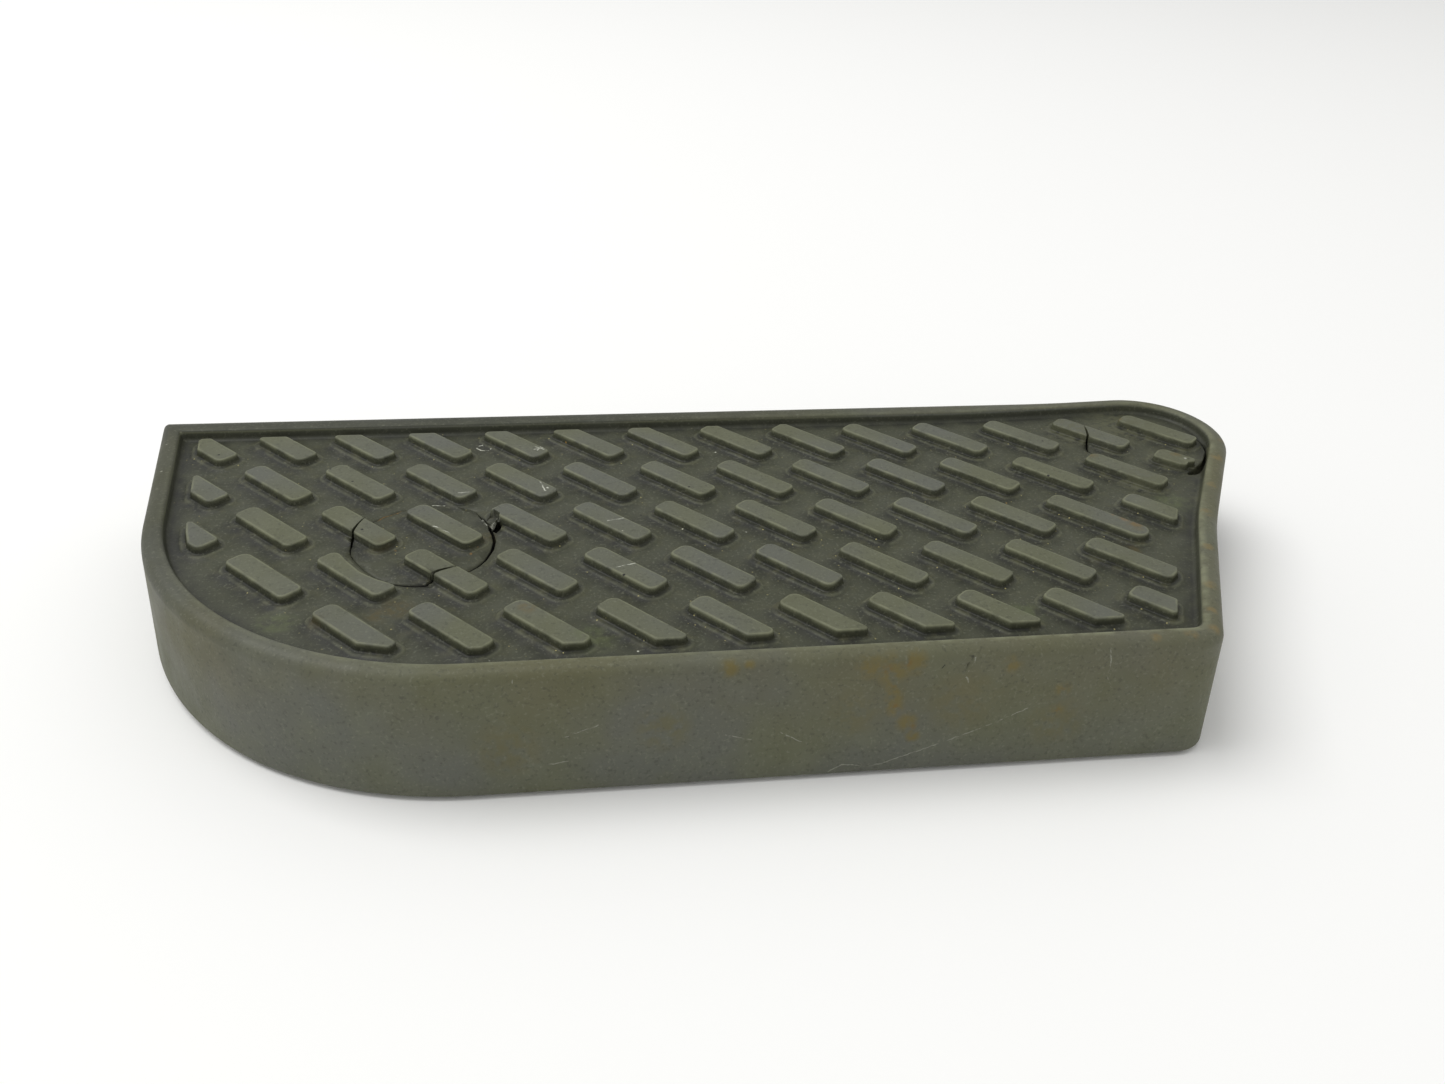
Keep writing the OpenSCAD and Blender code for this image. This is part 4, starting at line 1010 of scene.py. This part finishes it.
def speckMask(tree, point, size, radius, share, seed):
    # small dots, one at most in each cell, in a share of the cells
    moved = addNode(tree, "ShaderNodeVectorMath", {0: point, 1: (seed, seed, 0)}, operation="ADD")
    cells = addNode(tree, "ShaderNodeTexVoronoi", {"Vector": moved, "Scale": perSize(size)})
    near = addNode(tree, "ShaderNodeMath", {0: cells.outputs["Distance"], 1: radius / size},
                   operation="LESS_THAN")
    chosen = addNode(tree, "ShaderNodeSeparateColor", {0: cells.outputs["Color"]})
    kept = addNode(tree, "ShaderNodeMath", {0: chosen, 1: share}, operation="LESS_THAN")
    return addNode(tree, "ShaderNodeMath", {0: near, 1: kept}, operation="MULTIPLY")


def newMaterial(name):
    material = bpy.data.materials.new(name)
    material.use_nodes = True
    return material, material.node_tree, material.node_tree.nodes["Principled BSDF"]


def finishMaterial(tree, shader, colour, rough, bump):
    tree.links.new(colour, shader.inputs["Base Color"])
    tree.links.new(rough.outputs[0], shader.inputs["Roughness"])
    tree.links.new(bump.outputs[0], shader.inputs["Normal"])


def makePlastic():
    p = plastic
    material, tree, shader = newMaterial(p["name"])
    place = addNode(tree, "ShaderNodeTexCoord").outputs["Object"]
    height = addNode(tree, "ShaderNodeSeparateXYZ", {0: place}).outputs["Z"]
    on = {name: addNode(tree, "ShaderNodeAttribute", attribute_name=name).outputs["Fac"]
          for name in ("tread", "foot", "crease", "edge", "rimFootShade", "backRimShade", "shade")}
    ramps = {   # value, and where the mask is nothing and full
        # the tread's floor and the bars' lower sides, which take dirt and painted shade
        "low": (height, (floorZ + 2.3) * mm, (floorZ + 1.7) * mm),
        "wall": (on["tread"], 0.6, 0.4),
        "pad": (on["foot"], 0.66, 0.92),
        "upper": (height, 6 * mm, 27 * mm),
        "inside": (on["tread"], 0.3, 0.6),
        "deep": (height, (floorZ - 0.3) * mm, (floorZ - 0.6) * mm),
    }
    for name, (value, low, high) in ramps.items():
        on[name] = addNode(tree, "ShaderNodeMapRange", {"Value": value, "From Min": low, "From Max": high},
                           interpolation_type="SMOOTHSTEP")
    ragged = addNode(tree, "ShaderNodeTexNoise", {"Vector": place, "Scale": perSize(p["raggedSize"])})
    far = p["ragged"] * mm
    shift = addNode(tree, "ShaderNodeVectorMath",
                    {0: ragged.outputs["Color"], 1: (far, far, far), 2: (-far / 2, -far / 2, -far / 2)},
                    operation="MULTIPLY_ADD")
    point = addNode(tree, "ShaderNodeVectorMath", {0: place, 1: shift}, operation="ADD").outputs[0]

    def patches(size, low, high, detail=3.0, least=0.0, most=1.0):
        # noise of one size, stretched to run from least at low to most at high
        noise = addNode(tree, "ShaderNodeTexNoise",
                        {"Vector": place, "Scale": perSize(size), "Detail": detail})
        return addNode(tree, "ShaderNodeMapRange",
                       {"Value": noise, "From Min": low, "From Max": high, "To Min": least, "To Max": most})

    def coats():
        # each coat's colour, and the masks whose product says how much of it covers what is under it
        for colour, names, amount in layers:
            masks = [on[name] for name in names]
            yield colour, *masks, patches(*amount) if isinstance(amount, tuple) else amount
        for colour, where, *speck in specks:
            yield colour, speckMask(tree, place, *speck), on[where]
        # painted shade: near-black inside the cracks, below the floor
        yield p["crackShade"], on["inside"], on["deep"], p["crackShadeShare"]
        for colour, strength, places in marks:
            mask = 0.0
            for mark in places:
                mask = addNode(tree, "ShaderNodeMath", {0: mask, 1: markMask(tree, point, mark)},
                               operation="MAXIMUM")
            yield colour, mask, patches(*p["markPatches"]), strength

    colour = hexColour(p["grey"])
    for over, amount, *others in coats():
        for other in others:
            amount = addNode(tree, "ShaderNodeMath", {0: amount, 1: other}, operation="MULTIPLY")
        colour = addNode(tree, "ShaderNodeMix", {0: amount, 6: colour, 7: hexColour(over)},
                         data_type="RGBA").outputs[2]
    rough = patches(*p["roughness"])
    wave = addNode(tree, "ShaderNodeTexNoise", {"Vector": place, "Scale": perSize(p["wave"])})
    waved = addNode(tree, "ShaderNodeBump", {"Height": wave, "Distance": p["waveDepth"] * mm})
    grain = addNode(tree, "ShaderNodeTexNoise",
                    {"Vector": place, "Scale": perSize(p["grain"]), "Detail": 3.0})
    bump = addNode(tree, "ShaderNodeBump",
                   {"Height": grain, "Distance": p["grainDepth"] * mm, "Normal": waved})
    finishMaterial(tree, shader, colour, rough, bump)
    shader.inputs["Specular IOR Level"].default_value = p["specular"]
    return material


shellPiece = makeShell(makePlastic())
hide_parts("treadle_shell")
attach(shellPiece, "treadle")
print("treadle shell made")


finishes = [   # colours, mm; roughness from and to, dust: colour, patch size, share
    {"name": "black_abs_textured",      # dull even grain with pale dust on it
     "nodes": ["base_pan", "rack_guide"], "colours": ("#2a2b29", "#373835"), "patch": 24.0,
     "roughness": (0.5, 0.68), "grain": 0.7, "depth": 0.05, "dust": ("#55523f", 7.0, 0.3)},
    {"name": "moulded_rubber",          # soft black that has gone grey and matt
     "nodes": ["rubber_feet", "down_stops", "cord_gland"], "colours": ("#1b1b1a", "#2a2a28"), "patch": 5.0,
     "roughness": (0.7, 0.9), "grain": 0.4, "depth": 0.03, "dust": ("#5f5a49", 3.0, 0.3)},
    {"name": "zinc_plated_steel",       # bright bluish metal, dulled in patches, first rust on it
     "nodes": ["foot_screws", "hinge_rod", "rod_clips", "spring_cups", "stop_brackets", "bracket_screws",
               "guide_screws", "pot_shaft", "board_screws", "triac_screw", "terminal_screws",
               "clamp_screws"],
     "colours": ("#b4b7b8", "#8d9091"), "patch": 3.0, "roughness": (0.28, 0.5), "grain": 0.3,
     "depth": 0.008, "dust": ("#6e5233", 2.2, 0.45), "constants": {"Metallic": 1.0}},
    {"name": "moulded_nylon",           # warm milky white, a little waxy
     "nodes": ["hinge_bushes", "speed_rack", "pinion_gear", "cord_clamp"], "colours": ("#e0d9c3", "#cfc6ab"),
     "patch": 6.0, "roughness": (0.35, 0.5), "grain": 0.5, "depth": 0.01, "dust": ("#8d8566", 3.0, 0.25)},
    {"name": "pressed_wool_felt",       # grey fibres, no shine
     "nodes": ["stop_pads"], "colours": ("#57554f", "#6f6c64"), "patch": 1.2, "roughness": (0.85, 1.0),
     "grain": 0.35, "depth": 0.12, "constants": {"Sheen Weight": 0.35}},
    {"name": "blue_phenolic_case",      # dark hard moulding with a soft shine
     "nodes": ["potentiometer"], "colours": ("#1f2a44", "#2a3552"), "patch": 5.0, "roughness": (0.3, 0.45),
     "grain": 0.4, "depth": 0.01},
    {"name": "green_solder_mask",       # glass cloth shows faintly through a glossy green film
     "nodes": ["circuit_board"], "colours": ("#1d5a33", "#246b3d"), "patch": 2.0, "roughness": (0.2, 0.35),
     "grain": 0.5, "depth": 0.01, "stretch": (1.0, 3.0, 1.0), "constants": {"Coat Weight": 0.3}},
    {"name": "black_epoxy_moulding",    # fine sandy black
     "nodes": ["triac"], "colours": ("#161617", "#222223"), "patch": 2.0, "roughness": (0.4, 0.55),
     "grain": 0.25, "depth": 0.012},
    {"name": "extruded_aluminium",      # pale metal with die lines along its fins
     "nodes": ["heat_sink"], "colours": ("#c6c8ca", "#adb0b3"), "patch": 5.0, "roughness": (0.25, 0.42),
     "grain": 0.3, "depth": 0.02, "stretch": (1.0, 1.0, 0.06), "constants": {"Metallic": 1.0}},
    {"name": "dipped_film_capacitor",   # ochre resin skin, thick and shiny
     "nodes": ["suppressor_capacitor"], "colours": ("#c28a2c", "#ae7722"), "patch": 6.0,
     "roughness": (0.15, 0.3), "grain": 1.5, "depth": 0.04},
    {"name": "green_polyamide_block",   # matt green moulding
     "nodes": ["terminal_block"], "colours": ("#2d6b44", "#255c39"), "patch": 5.0,
     "roughness": (0.4, 0.55), "grain": 0.4, "depth": 0.012},
    {"name": "oiled_spring_wire",       # dark drawn wire, lines along it
     "nodes": [], "colours": ("#7c7d7f", "#55575a"), "patch": 2.0, "roughness": (0.25, 0.42), "grain": 0.25,
     "depth": 0.008, "dust": ("#5f4427", 1.8, 0.3), "constants": {"Metallic": 1.0}},
    {"name": "enamelled_copper_wire",   # orange metal under clear varnish
     "nodes": [], "colours": ("#c4703a", "#a5562a"), "patch": 1.5, "roughness": (0.18, 0.3), "grain": 0.3,
     "depth": 0.004, "constants": {"Metallic": 1.0, "Coat Weight": 0.6}},
    {"name": "pressed_iron_powder",     # dull grey-green core of the choke
     "nodes": [], "colours": ("#4a4c46", "#3c3e39"), "patch": 1.5, "roughness": (0.6, 0.8), "grain": 0.3,
     "depth": 0.02},
]


def makeFinish(look):
    material, tree, shader = newMaterial(look["name"])
    place = addNode(tree, "ShaderNodeTexCoord").outputs["Object"]
    lined = addNode(tree, "ShaderNodeMapping", {"Vector": place, "Scale": look.get("stretch", (1, 1, 1))})
    patch = addNode(tree, "ShaderNodeTexNoise",
                    {"Vector": place, "Scale": perSize(look["patch"]), "Detail": 4.0})
    spread = addNode(tree, "ShaderNodeMapRange", {"Value": patch, "From Min": 0.38, "From Max": 0.62})
    first, second = (hexColour(code) for code in look["colours"])
    colour = addNode(tree, "ShaderNodeMix", {0: spread, 6: first, 7: second}, data_type="RGBA").outputs[2]
    if "dust" in look:
        code, size, share = look["dust"]
        lying = addNode(tree, "ShaderNodeTexNoise",
                        {"Vector": place, "Scale": perSize(size), "Detail": 6.0})
        amount = addNode(tree, "ShaderNodeMapRange",
                         {"Value": lying, "From Min": 0.5, "From Max": 0.72, "To Max": share})
        colour = addNode(tree, "ShaderNodeMix", {0: amount, 6: colour, 7: hexColour(code)},
                         data_type="RGBA").outputs[2]
    smooth, dull = look["roughness"]
    rough = addNode(tree, "ShaderNodeMapRange", {"Value": spread, "To Min": smooth, "To Max": dull})
    grain = addNode(tree, "ShaderNodeTexNoise",
                    {"Vector": lined, "Scale": perSize(look["grain"]), "Detail": 2.0})
    bump = addNode(tree, "ShaderNodeBump", {"Height": grain, "Distance": look["depth"] * mm})
    finishMaterial(tree, shader, colour, rough, bump)
    for name, value in look.get("constants", {}).items():
        shader.inputs[name].default_value = value
    for node in look["nodes"]:
        for slot in frame["nodes"][node].material_slots:
            slot.material = material
    return material


finished = {look["name"]: makeFinish(look) for look in finishes}
print("finishes made:", len(finished))


springs = [   # mm; the body that presses each one down
    {"node": "left_spring", "wire": 1.4, "turns": 6, "top": "treadle"},
    {"node": "right_spring", "wire": 1.4, "turns": 6, "top": "treadle"},
    {"node": "rack_spring", "wire": 0.4, "turns": 5, "top": "rack"},
]


perTurn = 30         # points on one turn of wire
wireInset = 0.53     # of the wire's width, from the box to the middle of the wire
wireAngle = 50       # degrees, over which an edge of the wire is sharp
springSums = [   # result, operation, and what goes in: inputs, results before it and numbers
    ("count", "MULTIPLY_ADD", "Turns", perTurn, 1),
    ("turn", "DIVIDE", "index", perTurn),
    ("angle", "MULTIPLY", "turn", 2 * math.pi),
    ("inner", "SUBTRACT", "Turns", 2),
    ("open", "MULTIPLY_ADD", "Wire", -3, "Height"),
    ("first", "MULTIPLY", "turn", 1),
    ("past", "SUBTRACT", "turn", 1),
    ("middle", "DIVIDE", "past", "inner"),
    ("before", "ADD", "inner", 1),
    ("last", "SUBTRACT", "turn", "before"),
    ("closed", "ADD", "first", "last"),
    ("wires", "ADD", "closed", 0.5),
    ("rise", "MULTIPLY", "middle", "open"),
    ("z", "MULTIPLY_ADD", "wires", "Wire", "rise"),
    ("cosine", "COSINE", "angle"),
    ("sine", "SINE", "angle"),
    ("x", "MULTIPLY", "cosine", "Radius"),
    ("y", "MULTIPLY", "sine", "Radius"),
    ("wireR", "MULTIPLY", "Wire", 0.5),
]


def springTree():
    # one wire wound up through its turns, with a closed turn at each end
    sizes = ("Radius", "Wire", "Turns", "Height")
    tree, source = nodeGroup("wind_spring", [(name, "Float") for name in sizes]
                             + [("Place", "Vector"), ("Material", "Material")])
    found = {name: source[name] for name in sizes}
    found["index"] = addNode(tree, "GeometryNodeInputIndex")
    for name, operation, *terms in springSums:
        values = {k: found.get(term, term) for k, term in enumerate(terms)}
        found[name] = addNode(tree, "ShaderNodeMath", values, operation=operation,
                              use_clamp=name in ("first", "middle", "last"))   # held between 0 and 1
    count = addNode(tree, "FunctionNodeFloatToInt", {0: found["count"]})
    line = addNode(tree, "GeometryNodeMeshLine", {"Count": count, "Offset": (0, 0, 0.001)})
    spot = addNode(tree, "ShaderNodeCombineXYZ", {0: found["x"], 1: found["y"], 2: found["z"]})
    moved = addNode(tree, "ShaderNodeVectorMath", {0: spot, 1: source["Place"]}, operation="ADD")
    placed = addNode(tree, "GeometryNodeSetPosition", {"Geometry": line, "Position": moved})
    curve = addNode(tree, "GeometryNodeMeshToCurve", {0: placed})
    ring = addNode(tree, "GeometryNodeCurvePrimitiveCircle", {"Resolution": 10, "Radius": found["wireR"]})
    wire = addNode(tree, "GeometryNodeCurveToMesh",
                   {"Curve": curve, "Profile Curve": ring, "Fill Caps": True})
    endTree(tree, wire, source["Material"])
    return tree


def windSpring(spring, tree):
    low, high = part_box(spring["node"])
    wire = spring["wire"] * mm
    middle = (low + high) / 2
    obj = grown(meshObject(spring["node"] + "_wound", [(0, 0, 0)], []), tree, {
        "Radius": (high.x - low.x) / 2 - wireInset * wire, "Wire": wire,
        "Turns": float(spring["turns"]), "Height": high.z - low.z,
        "Place": (middle.x, middle.y, low.z), "Material": finished["oiled_spring_wire"]})
    finishEdges(turnedOut(obj).data, wireAngle)
    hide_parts(spring["node"])
    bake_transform(obj, "base", spring["top"], start=(middle.x, middle.y, low.z + wire),
             end=(middle.x, middle.y, high.z - wire))


woundTree = springTree()
for spring in springs:
    windSpring(spring, woundTree)
print("springs wound:", len(springs))


choke = {"coreR": 1.9, "wire": 0.64, "turns": 38, "seatR": (4.6, 7.4), "seatH": 1.5, "gap": 3,   # mm
         "room": 0.05, "seatSteps": 45}


def chokeTree():
    # loops of wire round a ring core, in two halves with a gap between them
    tree, source = nodeGroup("wind_choke", [
        ("Ring Radius", "Float"), ("Core Radius", "Float"), ("Wire", "Float"), ("Turns", "Int"),
        ("Gap", "Int"), ("Place", "Vector"), ("Core Material", "Material"), ("Wire Material", "Material")])
    half = addNode(tree, "ShaderNodeMath", {0: source["Wire"], 1: 0.5}, operation="MULTIPLY")
    reach = addNode(tree, "ShaderNodeMath", {0: source["Core Radius"], 1: half}, operation="ADD")
    circles = [addNode(tree, "GeometryNodeCurvePrimitiveCircle", {"Resolution": steps, "Radius": radius})
               for steps, radius in ((64, source["Ring Radius"]), (16, source["Core Radius"]), (20, reach),
                                     (8, half))]
    ring, section, loop, wire = circles
    core = addNode(tree, "GeometryNodeCurveToMesh", {"Curve": ring, "Profile Curve": section})
    turn = addNode(tree, "GeometryNodeCurveToMesh", {"Curve": loop, "Profile Curve": wire})
    stops = addNode(tree, "GeometryNodeResampleCurve", {"Curve": ring, "Count": source["Turns"]})
    along = addNode(tree, "GeometryNodeInputTangent")
    facing = addNode(tree, "FunctionNodeAlignRotationToVector", {"Vector": along}, axis="Z")
    side = addNode(tree, "ShaderNodeMath", {0: source["Turns"], 1: 2.0}, operation="DIVIDE")
    index = addNode(tree, "GeometryNodeInputIndex")
    left = addNode(tree, "ShaderNodeMath", {0: index, 1: side}, operation="MODULO")
    wound = addNode(tree, "ShaderNodeMath", {0: left, 1: source["Gap"]}, operation="GREATER_THAN")
    turns = addNode(tree, "GeometryNodeInstanceOnPoints",
                    {"Points": stops, "Selection": wound, "Instance": turn, "Rotation": facing})
    real = addNode(tree, "GeometryNodeRealizeInstances", {"Geometry": turns})
    both = addNode(tree, "GeometryNodeJoinGeometry")
    for shape, name in ((real, "Wire Material"), (core, "Core Material")):
        painted = addNode(tree, "GeometryNodeSetMaterial", {"Geometry": shape, "Material": source[name]})
        tree.links.new(painted.outputs[0], both.inputs[0])
    placed = addNode(tree, "GeometryNodeSetPosition", {"Geometry": both, "Offset": source["Place"]})
    addNode(tree, "NodeGroupOutput", {0: placed})
    return tree


def makeChoke():
    low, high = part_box("choke")
    at, n = (low + high) / 2, choke["seatSteps"]
    reach = (choke["coreR"] + choke["wire"] + choke["room"]) * mm
    wound = grown(meshObject("choke_wound", [(0, 0, 0)], []), chokeTree(), {
        "Ring Radius": (high.x - low.x) / 2 - reach, "Core Radius": choke["coreR"] * mm,
        "Wire": choke["wire"] * mm, "Turns": choke["turns"], "Gap": choke["gap"],
        "Place": (at.x, at.y, high.z - reach), "Core Material": finished["pressed_iron_powder"],
        "Wire Material": finished["enamelled_copper_wire"]})
    inner, outer = choke["seatR"]
    bottom, top = low.z / mm, low.z / mm + choke["seatH"]
    seat = [(r * math.cos(a) + at.x / mm, r * math.sin(a) + at.y / mm, z)
            for r, z in ((inner, bottom), (outer, bottom), (outer, top), (inner, top))
            for a in angles(n, 360)[:-1]]
    faces = []
    for k in range(4):
        faces += band(k * n, (k + 1) % 4 * n, n)
    base = turnedOut(meshObject("choke_seat", seat, faces))
    for obj in (wound, base):
        obj.data.materials.append(finished["black_epoxy_moulding"])

    def addSeat(shape):
        first = len(shape.faces)
        shape.from_mesh(base.data)
        shape.faces.ensure_lookup_table()
        for part in shape.faces[first:]:
            part.material_index = len(wound.data.materials) - 1

    edited(wound.data, addSeat)
    turnedOut(wound)
    bpy.data.objects.remove(base)
    finishEdges(wound.data, wireAngle)
    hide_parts("choke")
    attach(wound, "base")
    print("choke wound:", len(wound.data.vertices), "points")


makeChoke()


stage = {   # metres, watts
    "size": 4.0, "paper": "#fbfbf9", "dullness": 0.9, "sky": 0.62,
    "lamp": 1.6, "power": 30, "place": (-1.0, 0.35, 2.1),
}


def makeStage():
    size = stage["size"]
    floor = meshObject("floor", [(-size, -size, 0), (size, -size, 0), (size, size, 0), (-size, size, 0)],
                       [(0, 1, 2, 3)], 1.0)
    material, _, shader = newMaterial("paper_floor")
    shader.inputs["Base Color"].default_value = hexColour(stage["paper"])
    shader.inputs["Roughness"].default_value = stage["dullness"]
    floor.data.materials.append(material)
    world = bpy.data.worlds.new("studio")
    bpy.context.scene.world = world
    world.use_nodes = True
    sky = world.node_tree.nodes["Background"].inputs
    sky["Color"].default_value = (1, 1, 1, 1)
    sky["Strength"].default_value = stage["sky"]
    lamp = bpy.data.lights.new("key", "AREA")
    lamp.size = stage["lamp"]
    lamp.energy = stage["power"]
    key = linkObject("key", lamp)
    key.location = stage["place"]
    key.rotation_euler = key.location.to_track_quat("Z", "Y").to_euler()


makeStage()
bpy.context.scene.view_settings.view_transform = "Standard"
